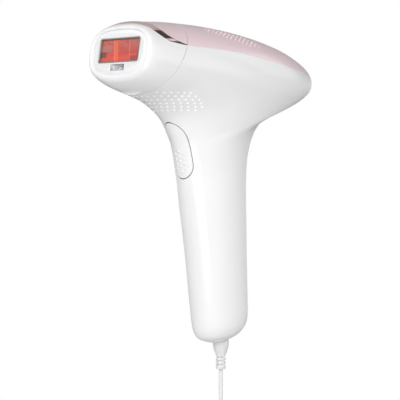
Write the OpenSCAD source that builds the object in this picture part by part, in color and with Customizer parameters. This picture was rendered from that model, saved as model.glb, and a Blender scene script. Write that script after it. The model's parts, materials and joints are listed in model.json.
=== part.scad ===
// Hand-held pulsed-light hair remover with its power lead and wall adapter.
// Front (light window) faces -Y, rear tip +Y, handle hangs down along -Z.
// The origin is in the middle of the grip, on the centre plane.

/* [Housing] */
// Thickness of the moulded shells
wall = 2; // [1.6:0.1:2.2]
// Gap at the seam between the nose attachment and the body
seam_gap = 0.3; // [0.2:0.05:0.5]
// Gap around the flash button and the power button
button_gap = 0.35; // [0.3:0.05:0.5]

/* [Light window] */
// Width of the window frame
window_w = 38; // [34:1:40]
// Height of the window frame
window_h = 15; // [13:0.5:15.5]
// Depth of the glass behind the face plate
glass_recess = 1.3; // [1:0.1:3]
// Width of the skin sensor lens
sensor_w = 13.2; // [10:0.2:14]
// Height of the skin sensor lens
sensor_h = 5; // [4:0.2:5.4]

/* [Lamp and cooling] */
// Length of the flash tube
lamp_l = 46; // [40:1:46]
// Diameter of the flash tube
lamp_d = 5.5; // [4:0.5:6]
// Side of the square fan frame
fan_side = 36; // [30:1:36]
// Number of fan blades
fan_blades = 7; // [5:1:9]

/* [Controls] */
// Width of the flash button
flash_w = 17.8; // [16:0.2:18.2]
// Height of the flash button
flash_h = 34.8; // [32:0.2:36]
// Width of the power button
power_w = 13; // [11:0.5:14]
// Height of the power button
power_h = 8.4; // [7:0.2:9]

/* [Power] */
// Diameter of the flash capacitor
cap_d = 22; // [18:1:22]
// Length of the flash capacitor
cap_l = 42; // [36:1:44]
// Diameter of the power lead
cord_d = 2.6; // [2.4:0.1:2.8]
// Diameter of a mains pin
pin_d = 4; // [4:0.1:4.8]
// Free length of a mains pin
pin_l = 19; // [18:0.5:19]

/* [Hidden] */
$fn = 48;

white = "white";
pink = [0.88, 0.79, 0.83];
rose_gold = [0.86, 0.6, 0.56];

// Ribs of the body, from the nose to the foot of the handle. Each rib is a closed curve in a
// plane that holds the X direction, from its inner end on the underside or handle front to
// its outer end on the top or back: [inner y, inner z, outer y, outer z, half width,
// place of the widest point, roundness of the inner half, roundness of the outer half].
RIBS = [
    [-78.6, 95.6, -74.2, 122.4, 25.4, 0.5, 2.7, 3],
    [-79, 93.2, -74, 124.6, 27.5, 0.49, 2.55, 2.8],
    [-77.7, 90.6, -71, 126.4, 29.4, 0.47, 2.45, 2.6],
    [-73.2, 87.6, -63.5, 127.6, 30.4, 0.46, 2.4, 2.3],
    [-68.5, 85.6, -51, 128.2, 30.7, 0.46, 2.4, 2.1],
    [-63.5, 83.8, -37.5, 128.1, 31, 0.45, 2.3, 2],
    [-57, 81.4, -16, 127, 31.4, 0.46, 2.2, 2],
    [-51, 78.8, 8, 124.2, 31.8, 0.48, 2.1, 2],
    [-45.5, 75.4, 30, 120, 31.8, 0.5, 2.1, 2],
    [-41, 71.5, 49.5, 114.6, 31.2, 0.5, 2, 2],
    [-37.8, 67.6, 64, 108.5, 30, 0.5, 2, 2],
    [-35.6, 63.8, 74, 102.6, 28.7, 0.48, 2, 1.95],
    [-34, 60.2, 78.8, 96.6, 27.2, 0.46, 2, 1.9],
    [-32.5, 57.2, 78.2, 90.6, 25.8, 0.44, 2, 1.85],
    [-31.2, 54.4, 71.5, 85.8, 24.6, 0.43, 2, 1.85],
    [-30.1, 51.6, 60, 82.4, 23.6, 0.42, 2, 1.85],
    [-29.1, 48.6, 48, 78.4, 22.6, 0.42, 2, 1.9],
    [-28.2, 45.2, 37.5, 73.6, 21.7, 0.44, 2, 1.9],
    [-27.3, 41.2, 29.6, 66.5, 20.9, 0.46, 2, 2],
    [-26.4, 36.4, 24.8, 57.5, 20.2, 0.48, 2, 2],
    [-25.4, 31, 22, 47, 19.6, 0.5, 2, 2],
    [-24.2, 24, 20.8, 35, 19.2, 0.5, 2.05, 2.05],
    [-22.7, 15, 20.6, 21, 18.8, 0.5, 2.1, 2.1],
    [-20.7, 2, 21, 4, 18.3, 0.5, 2.1, 2.1],
    [-18.4, -14, 21.4, -14, 17.7, 0.5, 2.1, 2.1],
    [-16.4, -32, 22.1, -30, 17, 0.5, 2.1, 2.1],
    [-14.6, -48, 22.6, -42, 16.4, 0.5, 2.1, 2.1],
    [-13.6, -56, 22.8, -50, 16, 0.5, 2.1, 2.1],
    [-12.3, -62, 21.6, -56, 14.8, 0.5, 2.1, 2.1],
    [-9.2, -66.4, 17.4, -61.8, 11.4, 0.5, 2.1, 2.1],
    [-2.5, -68.3, 9.6, -66.4, 5.2, 0.5, 2.1, 2.1]
];
SEAM_RIB = 5;
CORNER_RIB = 18;
LAST_RIB = len(RIBS) - 1;
OUTER_SIDES = 40;
INNER_SIDES = 28;

// Side-view curves, as points [y, z]: the edge between top cover and body, and the two
// edges of the metallic trim that sweeps over the nose.
SPLIT_LINE = [[-47, 112.9], [-36, 112.4], [-24, 111.7], [-1, 109.6], [22, 106.2],
              [36, 104], [50, 101.6], [61, 99.8], [72, 98.6], [90, 98]];
TRIM_FRONT = [[-73, 132], [-72.2, 126], [-70.5, 123.3], [-66.8, 119.3], [-63, 116.5],
              [-60, 114.7], [-56, 113.8], [-50, 113.1], [-40, 112.9]];
TRIM_BACK = [[-63.4, 132], [-63.6, 126], [-63, 123.3], [-60.5, 119.6], [-56.8, 117],
             [-52.9, 115.3], [-49.7, 114.2], [-46, 113.2], [-40, 112.9]];
CURVE_STEPS = 4;

face_y = -76.1;
face_z = 110.2;
face_tilt = 9.6;
face_w = 49.6;
face_h = 25.8;
face_v = -1.5;
face_r = 12;
plate_t = 2.2;
strip_w = 17;
strip_h = 112;
seam_y = -50.5;
seam_z = 105.95;
seam_tilt = 30.4;
far = 400;

window_r = 1.6;
frame_wall = 0.7;
glass_t = 1.1;
tunnel_wall = 0.8;
tunnel_end = 21;
passage_w = 42;
passage_h = 19;
peg_x = 24;
peg_v = -4;
peg_r = 2;
CONTACT_X = [-6, -2, 2, 6];
contact_z = -16.5;
sensor_v = -11.3;

lamp_depth = 37;
reflector_r = 9;
reflector_l = 44;
fan_y = -4;
fan_z = 109;
fan_h = 10;
fan_bore_r = fan_side / 2 - 1.5;
hub_r = 7;
shaft_r = 1;
running_gap = 0.05;

flash_z = 50.1;
pivot_y = -27.6;
pivot_z = 64.5;
pivot_r = 1;
power_z = 94;
power_proud = 0.4;
light_ring_t = 1;

BOARD_SCREW_Z = [-38, 9];
board_screw_x = 5;
control_screw_x = 10;
control_screw_y = 27;
screw_r = 0.85;
cap_y = 6.4;
cap_z = -44;
clamp_z = -30;
clamp_h = 8;

plug_y = 5.6;
floor_z = -150;
relief_end_z = -85;
RELIEF_SLOT_Z = [-76.6, -79.6, -82.3];
coil_y = -50;
coil_in = 9;
coil_out = 20;
coil_low = -149.4;
coil_high = -136.2;
adapter_x = -12;
adapter_lead_y = -8;
adapter_lead_z = -142;
adapter_y0 = 12;
adapter_y1 = 72;
adapter_w = 40;
adapter_h = 28;
adapter_split = -133;
pin_pitch = 18.6;

// Route of the lead from the strain relief down to the coil, and from the coil to the adapter.
LEAD_ROUTE = [
    [0, 5.6, -85], [0, 5.6, -92], [0, 5.6, -99], [0, 5.6, -106], [0, 5.5, -113],
    [0.2, 5, -120], [0.8, 3.6, -127], [2, 0.8, -134], [3.8, -4, -140.4], [6.2, -10.5, -145.4],
    [9, -18, -148], [12, -26, -148.7], [15, -34, -148.7], [17.4, -41.5, -148.7],
    [18.7, -50, -148.7]
];
ADAPTER_ROUTE = [
    [-18.7, -50, -145.6], [-18.6, -43, -145.9], [-18, -36, -146], [-16.6, -29, -145.8],
    [-14.8, -22, -144.6], [-13.2, -15, -142.8], [-12, -8, -142]
];

// ---------- functions ----------

function lerp(a, b, t) = a + (b - a) * t;

function spline(a, b, c, d, t) =
    0.5 * (2 * b + (c - a) * t + (2 * a - 5 * b + 4 * c - d) * t * t
        + (3 * b - a - 3 * c + d) * t * t * t);

// A smooth line through every point of a list
function smooth(list, steps) =
    let (n = len(list) - 1)
    [for (i = [0 : n - 1]) for (k = [0 : steps - 1])
        spline(list[max(i - 1, 0)], list[i], list[i + 1], list[min(i + 2, n)], k / steps),
     list[n]];

function signed_pow(v, e) = sign(v) * pow(abs(v), e);

function rib_point(r, a) =
    let (n = cos(a) < 0 ? r[6] : r[7],
         u = signed_pow(cos(a), 2 / n),
         p = u < 0 ? r[5] * (1 + u) : r[5] + u * (1 - r[5]))
    [r[4] * signed_pow(sin(a), 2 / n), lerp(r[0], r[2], p), lerp(r[1], r[3], p)];

// Ribs from first to last, with extra ones between them down to the rear corner
function rib_run(first, last, extra) =
    [for (i = [first : last - 1])
        let (steps = i < CORNER_RIB ? extra : 1)
        for (k = [0 : steps - 1])
            spline(RIBS[max(i - 1, 0)], RIBS[i], RIBS[i + 1], RIBS[min(i + 2, LAST_RIB)], k / steps),
     RIBS[last]];

function unit(v) = v / max(norm(v), 0.000001);

// The outward direction at point j of ring i
function ring_normal(rings, i, j) =
    let (m = len(rings), n = len(rings[0]),
         along = rings[min(i + 1, m - 1)][j] - rings[max(i - 1, 0)][j],
         around = rings[i][(j + 1) % n] - rings[i][(j + n - 1) % n])
    unit(cross(around, along));

function rings_of(first, last, extra, sides) =
    [for (r = rib_run(first, last, extra)) [for (j = [0 : sides - 1]) rib_point(r, 360 * j / sides)]];

function inset_rings(rings, depth) =
    depth == 0 ? rings
    : [for (i = [0 : len(rings) - 1]) [for (j = [0 : len(rings[0]) - 1])
        rings[i][j] - depth * ring_normal(rings, i, j)]];

// ---------- shared shapes ----------

module skin_of(rings) {
    m = len(rings);
    n = len(rings[0]);
    polyhedron(
        points = [for (r = rings) for (p = r) p],
        faces = concat(
            [[for (j = [0 : n - 1]) j]],
            [for (i = [0 : m - 2]) for (j = [0 : n - 1]) each
                [[i * n + j, (i + 1) * n + (j + 1) % n, i * n + (j + 1) % n],
                 [i * n + j, (i + 1) * n + j, (i + 1) * n + (j + 1) % n]]],
            [[for (j = [n - 1 : -1 : 0]) (m - 1) * n + j]]
        )
    );
}

module outer_skin() {
    skin_of(rings_of(0, LAST_RIB, 2, OUTER_SIDES));
}

module inner_skin(depth) {
    skin_of(inset_rings(rings_of(2, LAST_RIB, 1, INNER_SIDES), depth));
}

// Keeps a cut skin as one mesh
module one_mesh() {
    resize([0, 0, 0]) children();
}

module side_prism(points) {
    rotate([90, 0, 90])
        linear_extrude(height = 100, center = true)
            polygon(points);
}

module face_frame() {
    translate([0, face_y, face_z])
        rotate([90 - face_tilt, 0, 0])
            children();
}

module seam_frame() {
    translate([0, seam_y, seam_z])
        rotate([90 - seam_tilt, 0, 0])
            children();
}

module before_seam(gap) {
    seam_frame()
        translate([-far / 2, -far / 2, gap])
            cube([far, far, far]);
}

module behind_seam(gap) {
    seam_frame()
        translate([-far / 2, -far / 2, -far - gap])
            cube([far, far, far]);
}

module seam_slab(front, back) {
    seam_frame()
        translate([-far / 2, -far / 2, back])
            cube([far, far, front - back]);
}

module round_rect(w, h, r) {
    square([w - 2 * r, h], center = true);
    square([w, h - 2 * r], center = true);
    for (x = [-1, 1])
        for (y = [-1, 1])
            translate([x * (w / 2 - r), y * (h / 2 - r)])
                circle(r = r);
}

module round_bar(w, h, r, z0, z1) {
    translate([0, 0, z0])
        linear_extrude(height = z1 - z0)
            round_rect(w, h, r);
}

module rect_tube(w, h, r, t, z0, z1) {
    difference() {
        round_bar(w, h, r, z0, z1);
        round_bar(w - 2 * t, h - 2 * t, r - t / 2, z0 - 1, z1 + 1);
    }
}

// An upright oval, seen from the front or back, swept along Y
module upright_oval(w, h, inset, z, y0, y1) {
    r = min(w, h) / 2 - inset;
    translate([0, y1, z])
        rotate([90, 0, 0])
            linear_extrude(height = y1 - y0)
                round_rect(w - 2 * inset, h - 2 * inset, r - 0.01);
}

module above_split() {
    side_prism(concat(smooth(SPLIT_LINE, CURVE_STEPS), [[90, 160], [-60, 160], [-60, 112.9]]));
}

module behind_curve(curve) {
    side_prism(concat(smooth(curve, CURVE_STEPS), [[-30, 112.9], [-30, 150], [-60, 150]]));
}

module back_strip() {
    upright_oval(strip_w, strip_h, 0, 0, 8, 40);
}

module flash_oval(inset) {
    upright_oval(flash_w, flash_h, inset, flash_z, -60, -10);
}

module power_oval(inset) {
    upright_oval(power_w, power_h, inset, power_z, 60, 100);
}

// The way of the light from the lamp to the window, through the plates at the seam
module light_passage() {
    face_frame()
        translate([-passage_w / 2, -passage_h / 2, -60])
            cube([passage_w, passage_h, 60]);
}

module peg_holes(r) {
    face_frame()
        for (x = [-1, 1])
            translate([x * peg_x, peg_v, -60])
                cylinder(r = r, h = 60);
}

module board_holes(r) {
    for (z = BOARD_SCREW_Z)
        translate([board_screw_x, -20, z])
            rotate([-90, 0, 0])
                cylinder(r = r, h = 30);
}

module control_holes(r) {
    for (x = [-1, 1])
        translate([x * control_screw_x, control_screw_y, 88])
            cylinder(r = r, h = 20);
}

// A tube that follows a route, with square-cut ends
module swept_tube(route, d) {
    n = 8;
    m = len(route);
    rings = [for (i = [0 : m - 1])
        let (t = unit(route[min(i + 1, m - 1)] - route[max(i - 1, 0)]),
             side = unit(cross(t, [0.3, 1, 0.2])),
             up = cross(side, t))
        [for (j = [0 : n - 1])
            route[i] + (cos(360 * j / n) * side - sin(360 * j / n) * up) * d / 2]];
    skin_of(rings);
}

module ring(r, wire_r) {
    rotate_extrude()
        translate([r, 0])
            circle(r = wire_r, $fn = 24);
}

module bar_x(x, y, z, sx, sy, sz) {
    translate([x - sx / 2, y - sy / 2, z - sz / 2])
        cube([sx, sy, sz]);
}

// ---------- housing ----------

module main_shell() {
    color(white) one_mesh() difference() {
        intersection() {
            outer_skin();
            behind_seam(seam_gap / 2);
        }
        inner_skin(wall);
        above_split();
        back_strip();
        flash_oval(0);
        power_oval(0);
        light_pins();
        translate([0, plug_y, -80])
            cylinder(r = 5.4, h = 30);
    }
}

module back_cover() {
    color(white) one_mesh() difference() {
        intersection() {
            outer_skin();
            back_strip();
        }
        inner_skin(wall);
    }
}

module top_cover() {
    color(pink) one_mesh() difference() {
        intersection() {
            outer_skin();
            behind_seam(seam_gap / 2);
            above_split();
        }
        inner_skin(wall);
        power_oval(0);
    }
}

module nose_skin() {
    difference() {
        intersection() {
            outer_skin();
            before_seam(seam_gap / 2);
        }
        inner_skin(wall);
        face_frame()
            translate([0, face_v, 0])
                round_bar(face_w, face_h, face_r, -10, 10);
    }
}

module nose_shell() {
    color(white) one_mesh() difference() {
        nose_skin();
        behind_curve(TRIM_FRONT);
    }
}

module nose_trim() {
    color(rose_gold) one_mesh() difference() {
        intersection() {
            nose_skin();
            behind_curve(TRIM_FRONT);
        }
        behind_curve(TRIM_BACK);
    }
}

module nose_top_panel() {
    color(pink) one_mesh() intersection() {
        nose_skin();
        behind_curve(TRIM_BACK);
    }
}

// ---------- nose attachment ----------

module face_plate() {
    color([0.93, 0.93, 0.94]) face_frame() difference() {
        translate([0, face_v, 0])
            round_bar(face_w - 0.1, face_h - 0.1, face_r, -plate_t, 0);
        round_bar(window_w, window_h, window_r, -10, 10);
        translate([0, sensor_v, 0])
            round_bar(sensor_w, sensor_h, 0.6, -10, 10);
    }
}

module window_frame() {
    color([0.52, 0.52, 0.5]) face_frame() difference() {
        round_bar(window_w - 0.1, window_h - 0.1, window_r, -6, 0);
        round_bar(window_w - 2 * frame_wall, window_h - 2 * frame_wall, 1.2, -glass_recess - glass_t, 1);
        round_bar(window_w - 4 * frame_wall, window_h - 4 * frame_wall, 0.8, -7, 1);
    }
}

module window_glass() {
    color([0.8, 0.22, 0.18, 0.7]) face_frame()
        round_bar(window_w - 2 * frame_wall - 0.1, window_h - 2 * frame_wall - 0.1, 1.1,
                  -glass_recess - glass_t, -glass_recess);
}

module light_tunnel() {
    color([0.9, 0.9, 0.92]) face_frame()
        rect_tube(window_w - 0.2, window_h - 0.2, 1.5, tunnel_wall, -tunnel_end, -6);
}

module sensor_lens() {
    color([0.75, 0.76, 0.78]) face_frame()
        translate([0, sensor_v, 0])
            round_bar(sensor_w - 0.1, sensor_h - 0.1, 0.5, -plate_t, -0.3);
}

module sensor_board() {
    color([0.1, 0.35, 0.2]) face_frame()
        translate([0, sensor_v, 0])
            round_bar(sensor_w + 0.8, sensor_h - 0.6, 0.6, -plate_t - 1.4, -plate_t);
}

// Plate that closes the rear of the nose, parallel to the seam
module nose_back_plate() {
    color([0.3, 0.3, 0.32]) one_mesh() difference() {
        intersection() {
            inner_skin(wall);
            seam_slab(3, 1);
        }
        light_passage();
        peg_holes(peg_r);
    }
}

module nose_pegs() {
    color("silver") face_frame()
        for (x = [-1, 1])
            translate([x * peg_x, peg_v, -28])
                cylinder(r = peg_r, h = 7.5);
}

module nose_contacts() {
    color("gold") seam_frame()
        for (x = CONTACT_X)
            translate([x - 1.2, contact_z - 2, 0.7])
                cube([2.4, 4, 0.3]);
}

// ---------- lamp ----------

module front_bulkhead() {
    color([0.25, 0.25, 0.27]) one_mesh() difference() {
        intersection() {
            inner_skin(wall + 0.1);
            seam_slab(-1.2, -3.4);
        }
        light_passage();
        peg_holes(peg_r + 0.3);
        seam_frame()
            for (x = CONTACT_X)
                translate([x, contact_z, -6])
                    cylinder(r = 0.8, h = 6);
    }
}

module contact_pins() {
    color("gold") seam_frame()
        for (x = CONTACT_X)
            translate([x, contact_z, -6])
                cylinder(r = 0.75, h = 6.4);
}

module uv_filter_glass() {
    color([0.85, 0.9, 0.8, 0.4]) seam_frame()
        translate([0, -4.3, 0])
            round_bar(44, 21.6, 2, -5.2, -3.5);
}

module reflector() {
    color([0.85, 0.86, 0.88]) face_frame()
        translate([-reflector_l / 2, 0, -lamp_depth])
            rotate([0, 90, 0])
                difference() {
                    cylinder(r = reflector_r + 0.8, h = reflector_l);
                    translate([0, 0, -1])
                        cylinder(r = reflector_r, h = reflector_l + 2);
                    translate([-12, -12, -1])
                        cube([12, 24, reflector_l + 2]);
                }
}

module flash_lamp() {
    color([0.9, 0.95, 1, 0.5]) face_frame()
        translate([-lamp_l / 2, 0, -lamp_depth])
            rotate([0, 90, 0])
                cylinder(d = lamp_d, h = lamp_l);
}

module lamp_end_caps() {
    color([0.92, 0.9, 0.85]) face_frame()
        for (x = [-1, 1])
            translate([x * (lamp_l / 2 + 1.2), 0, -lamp_depth])
                difference() {
                    cube([2.4, 12, 10], center = true);
                    translate([-x * 1.5, 0, 0])
                        rotate([0, 90, 0])
                            cylinder(d = lamp_d + 0.1, h = 2, center = true);
                }
}

module heat_sink() {
    color([0.7, 0.71, 0.73]) face_frame()
        translate([0, 0, -lamp_depth - reflector_r - 0.9]) {
            translate([-18, -9, -1.6])
                cube([36, 18, 1.6]);
            for (x = [-17.2 : 4.3 : 17.3])
                translate([x - 0.5, -9, -5])
                    cube([1, 18, 3.6]);
        }
}

module trigger_coil() {
    color([0.5, 0.3, 0.15])
        translate([0, -30, 89.2])
            rotate([0, 90, 0])
                union() {
                    translate([0, 0, -7])
                        cylinder(r = 2.6, h = 14);
                    for (z = [-8.2, 7])
                        translate([0, 0, z])
                            cylinder(r = 3, h = 1.2);
                }
}

// ---------- cooling ----------

module fan_frame() {
    color([0.15, 0.15, 0.16])
        translate([0, fan_y, fan_z]) {
            difference() {
                translate([-fan_side / 2, -fan_side / 2, -fan_h / 2])
                    cube([fan_side, fan_side, fan_h]);
                translate([0, 0, -fan_h])
                    cylinder(r = fan_bore_r, h = 2 * fan_h);
            }
            difference() {
                union() {
                    translate([0, 0, -fan_h / 2])
                        cylinder(r = hub_r - 0.6, h = 1.6);
                    for (a = [45, 135, 225, 315])
                        rotate([0, 0, a])
                            translate([hub_r - 2, -1, -fan_h / 2])
                                cube([fan_bore_r - hub_r + 2.6, 2, 1.2]);
                    translate([0, 0, -fan_h / 2])
                        cylinder(r = 2.6, h = 5);
                }
                translate([0, 0, -fan_h])
                    cylinder(r = shaft_r + running_gap, h = 2 * fan_h);
            }
        }
}

module fan_rotor() {
    color([0.2, 0.2, 0.22])
        translate([0, fan_y, fan_z]) {
            difference() {
                translate([0, 0, -fan_h / 2 + 2.4])
                    cylinder(r = hub_r, h = fan_h - 3);
                translate([0, 0, -fan_h / 2])
                    cylinder(r = hub_r - 1.2, h = fan_h - 2);
            }
            translate([0, 0, -fan_h / 2 + 0.6])
                cylinder(r = shaft_r, h = fan_h - 2);
            for (i = [0 : fan_blades - 1])
                rotate([0, 0, 360 * i / fan_blades])
                    translate([hub_r - 0.5, 0, 0.8])
                        rotate([35, 0, 0])
                            translate([0, -0.5, -3.2])
                                cube([fan_bore_r - hub_r - 0.2, 1, 6.4]);
        }
}

module intake_filter() {
    color([0.35, 0.35, 0.37])
        translate([0, -36, 81])
            rotate([-28, 0, 0])
                translate([-13, -9, -0.4])
                    cube([26, 14, 0.8]);
}

module exhaust_filter() {
    color([0.35, 0.35, 0.37])
        translate([0, fan_y, fan_z + fan_h / 2])
            translate([-13, -17, 0])
                cube([26, 34, 0.8]);
}

// ---------- frame and boards ----------

module inner_frame() {
    color([0.35, 0.36, 0.4]) difference() {
        union() {
            bar_x(0, -7, 18, 17, 2, 132);
            bar_x(0, -2, 85, 24, 66, 2);
            for (x = [-1, 1]) {
                bar_x(x * 6.4, -18.45, 64.5, 2, 20.9, 4.6);
                bar_x(x * control_screw_x, control_screw_y, 92, 4, 4, 12);
            }
            bar_x(0, -10, 41, 16, 4, 2);
        }
        translate([-20, pivot_y, pivot_z])
            rotate([0, 90, 0])
                cylinder(r = pivot_r, h = 40);
        board_holes(screw_r + 0.05);
        control_holes(screw_r + 0.05);
    }
}

module control_board() {
    color([0.08, 0.3, 0.18]) difference() {
        translate([-14, 22, 98])
            cube([28, 38, 1.4]);
        control_holes(screw_r + 0.25);
    }
}

module board_components() {
    color([0.12, 0.12, 0.13]) {
        bar_x(0, 44, 100.2, 8, 8, 1.6);
        bar_x(-8, 34, 100.1, 5, 4, 1.4);
        bar_x(8, 36, 100.1, 4, 6, 1.4);
        bar_x(0, 32, 96.5, 12, 5, 3);
        translate([8, 48, 99.4])
            cylinder(r = 2.5, h = 4);
    }
}

module power_board() {
    color([0.08, 0.3, 0.18]) difference() {
        translate([-7.5, -9.6, -42])
            cube([15, 1.4, 56]);
        board_holes(screw_r + 0.25);
    }
}

module charging_transformer() {
    color([0.75, 0.65, 0.2])
        translate([0, 4.5, 24]) {
            cube([16, 17, 5], center = true);
            translate([0, 0, -8])
                cylinder(r = 6.6, h = 16);
            for (z = [-9.5, 9.5])
                translate([0, 0, z])
                    cube([16, 17, 3], center = true);
        }
}

module board_screws() {
    color("silver") {
        for (z = BOARD_SCREW_Z)
            translate([board_screw_x, -10.6, z])
                rotate([-90, 0, 0]) {
                    cylinder(r = 1.8, h = 1);
                    translate([0, 0, 0.5])
                        cylinder(r = screw_r, h = 4);
                }
        for (x = [-1, 1])
            translate([x * control_screw_x, control_screw_y, 93]) {
                cylinder(r = screw_r, h = 7);
                translate([0, 0, 6.4])
                    cylinder(r = 1.8, h = 1);
            }
    }
}

module wiring_harness() {
    color([0.7, 0.1, 0.1])
        for (x = [-1, 1]) {
            translate([x * 11.4, -4, -36])
                cylinder(r = 0.8, h = 112);
            translate([x * 15, -4, 84])
                rotate([0, 90, 90])
                    cylinder(r = 0.8, h = 36);
        }
}

// ---------- controls ----------

module flash_button() {
    color(white) one_mesh() difference() {
        intersection() {
            outer_skin();
            flash_oval(button_gap);
        }
        inner_skin(wall);
    }
}

module flash_lever() {
    color([0.85, 0.85, 0.86]) difference() {
        union() {
            rotate([90, 0, 90])
                linear_extrude(height = 9, center = true)
                    polygon([[-31.2, 63.5], [-28, 66.5], [-25.8, 64.5], [-19.6, 38], [-21.6, 36]]);
            translate([-4.5, pivot_y, pivot_z])
                rotate([0, 90, 0])
                    cylinder(r = 2.4, h = 9);
        }
        translate([-10, pivot_y, pivot_z])
            rotate([0, 90, 0])
                cylinder(r = pivot_r + running_gap, h = 20);
    }
}

module flash_pivot_pin() {
    color("silver")
        translate([-7.6, pivot_y, pivot_z])
            rotate([0, 90, 0])
                cylinder(r = pivot_r, h = 15.2);
}

module flash_spring() {
    color("silver")
        translate([0, 0, 50])
            rotate([-90, 0, 0])
                for (i = [0 : 5])
                    translate([0, 0, -20.8 + i * 2.5])
                        ring(2.2, 0.3);
}

module flash_switch() {
    color([0.12, 0.12, 0.13]) {
        bar_x(0, -14.2, 41, 11, 4.4, 6);
        bar_x(0, -17.2, 41, 3, 1.6, 2);
    }
}

module power_button() {
    color([0.45, 0.46, 0.48]) one_mesh() translate([0, power_proud, 0]) difference() {
        intersection() {
            outer_skin();
            power_oval(button_gap + light_ring_t);
        }
        inner_skin(wall);
    }
}

module ready_light_ring() {
    color([0.85, 0.87, 0.9]) one_mesh() difference() {
        intersection() {
            outer_skin();
            power_oval(0);
        }
        inner_skin(wall);
        power_oval(light_ring_t);
    }
}

module power_switch() {
    color([0.12, 0.12, 0.13]) {
        bar_x(0, 70, power_z, 7, 4, 5);
        bar_x(0, 72.3, power_z, 3, 0.6, 2.4);
    }
}

module light_pins() {
    for (i = [0 : 4])
        translate([0, 70 - 3 * i, 70])
            cylinder(r = 1, h = 20, $fn = 16);
}

module intensity_lights() {
    color([0.9, 0.92, 0.95]) one_mesh() difference() {
        intersection() {
            outer_skin();
            light_pins();
        }
        inner_skin(wall);
    }
}

// ---------- power ----------

module capacitor() {
    color([0.15, 0.18, 0.3]) {
        translate([0, cap_y, cap_z])
            cylinder(d = cap_d, h = cap_l);
        translate([0, cap_y, cap_z + cap_l])
            cylinder(d = cap_d - 3, h = 1);
    }
}

module capacitor_clamp() {
    color([0.8, 0.8, 0.82]) difference() {
        union() {
            translate([0, cap_y, clamp_z])
                cylinder(d = cap_d + 2.4, h = clamp_h);
            bar_x(0, -5.4, clamp_z + clamp_h / 2, 10, 1.2, clamp_h);
        }
        translate([0, cap_y, clamp_z - 10])
            cylinder(d = cap_d + 0.1, h = clamp_h + 20);
    }
}

module dc_jack() {
    color([0.12, 0.12, 0.13]) difference() {
        translate([0, plug_y, -62])
            cylinder(r = 5, h = 16);
        translate([0, plug_y, -63])
            cylinder(r = 2.85, h = 13);
    }
}

module plug_barrel() {
    color("silver") difference() {
        translate([0, plug_y, -64])
            cylinder(r = 2.75, h = 11.5);
        translate([0, plug_y, -64])
            cylinder(r = 1.3, h = 12);
    }
}

module strain_relief() {
    color(white) translate([0, plug_y, 0]) {
        translate([0, 0, -68])
            cylinder(r = 4.9, h = 4);
        translate([0, 0, -72])
            cylinder(r1 = 4.1, r2 = 4.9, h = 4);
        translate([0, 0, -75.6])
            cylinder(r1 = 2.9, r2 = 4.1, h = 3.6);
        difference() {
            translate([0, 0, relief_end_z])
                cylinder(r = 3.05, h = 9.6);
            for (z = RELIEF_SLOT_Z)
                translate([0, 0, z - 0.5])
                    difference() {
                        cylinder(r = 4, h = 1);
                        translate([0, 0, -1])
                            cylinder(r = 2.2, h = 3);
                        translate([-0.6, -5, -1])
                            cube([1.2, 10, 3]);
                    }
        }
    }
}

module supply_cord() {
    color(white) swept_tube(LEAD_ROUTE, cord_d);
}

module cord_coil() {
    color(white)
        translate([0, coil_y, coil_low])
            rotate_extrude()
                translate([coil_in, 0])
                    square([coil_out - coil_in, coil_high - coil_low]);
}

module cord_tie() {
    color([0.2, 0.2, 0.2])
        translate([0, coil_y - (coil_in + coil_out) / 2, (coil_low + coil_high) / 2])
            difference() {
                cube([4, coil_out - coil_in + 1.9, coil_high - coil_low + 1.2], center = true);
                cube([5, coil_out - coil_in + 0.9, coil_high - coil_low + 0.1], center = true);
            }
}

module adapter_cord() {
    color(white) swept_tube(ADAPTER_ROUTE, cord_d);
}

module adapter_relief() {
    color(white)
        translate([adapter_x, adapter_lead_y, adapter_lead_z])
            rotate([-90, 0, 0])
                cylinder(r1 = 2, r2 = 3.6, h = adapter_y0 - adapter_lead_y);
}

module adapter_half(z0, z1) {
    intersection() {
        translate([0, (adapter_y0 + adapter_y1) / 2, floor_z])
            linear_extrude(height = adapter_h)
                round_rect(adapter_w, adapter_y1 - adapter_y0, 6);
        translate([-50, 0, z0])
            cube([100, 100, z1 - z0]);
    }
}

module adapter_body() {
    color(white) adapter_half(floor_z, adapter_split);
}

module adapter_cover() {
    color(white) adapter_half(adapter_split, floor_z + adapter_h);
}

module mains_pins() {
    color("silver")
        for (x = [-1, 1])
            translate([x * pin_pitch / 2, adapter_y1, floor_z + 10])
                rotate([-90, 0, 0])
                    cylinder(d = pin_d, h = pin_l);
}

main_shell();
back_cover();
top_cover();
nose_shell();
nose_top_panel();
nose_trim();
face_plate();
window_frame();
window_glass();
light_tunnel();
sensor_lens();
sensor_board();
nose_back_plate();
nose_pegs();
nose_contacts();
front_bulkhead();
contact_pins();
uv_filter_glass();
reflector();
flash_lamp();
lamp_end_caps();
trigger_coil();
heat_sink();
fan_frame();
fan_rotor();
inner_frame();
control_board();
board_components();
power_button();
power_switch();
ready_light_ring();
intensity_lights();
flash_button();
flash_lever();
flash_pivot_pin();
flash_spring();
flash_switch();
capacitor();
capacitor_clamp();
power_board();
charging_transformer();
board_screws();
wiring_harness();
intake_filter();
exhaust_filter();
dc_jack();
plug_barrel();
strain_relief();
supply_cord();
cord_coil();
cord_tie();
adapter_cord();
adapter_relief();
adapter_body();
adapter_cover();
mains_pins();
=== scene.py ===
"""Looks of a hand-held pulsed-light hair remover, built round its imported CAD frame.

All shapes are worked out in millimetres in the CAD's own frame and turned into metres by to_object().
The light window faces -Y, the rear tip +Y, the handle hangs along -Z, and the origin is in the
middle of the grip.
"""
import json
import math

import bmesh
import bpy
import numpy as np
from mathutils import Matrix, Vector
from mathutils.bvhtree import BVHTree


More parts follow.
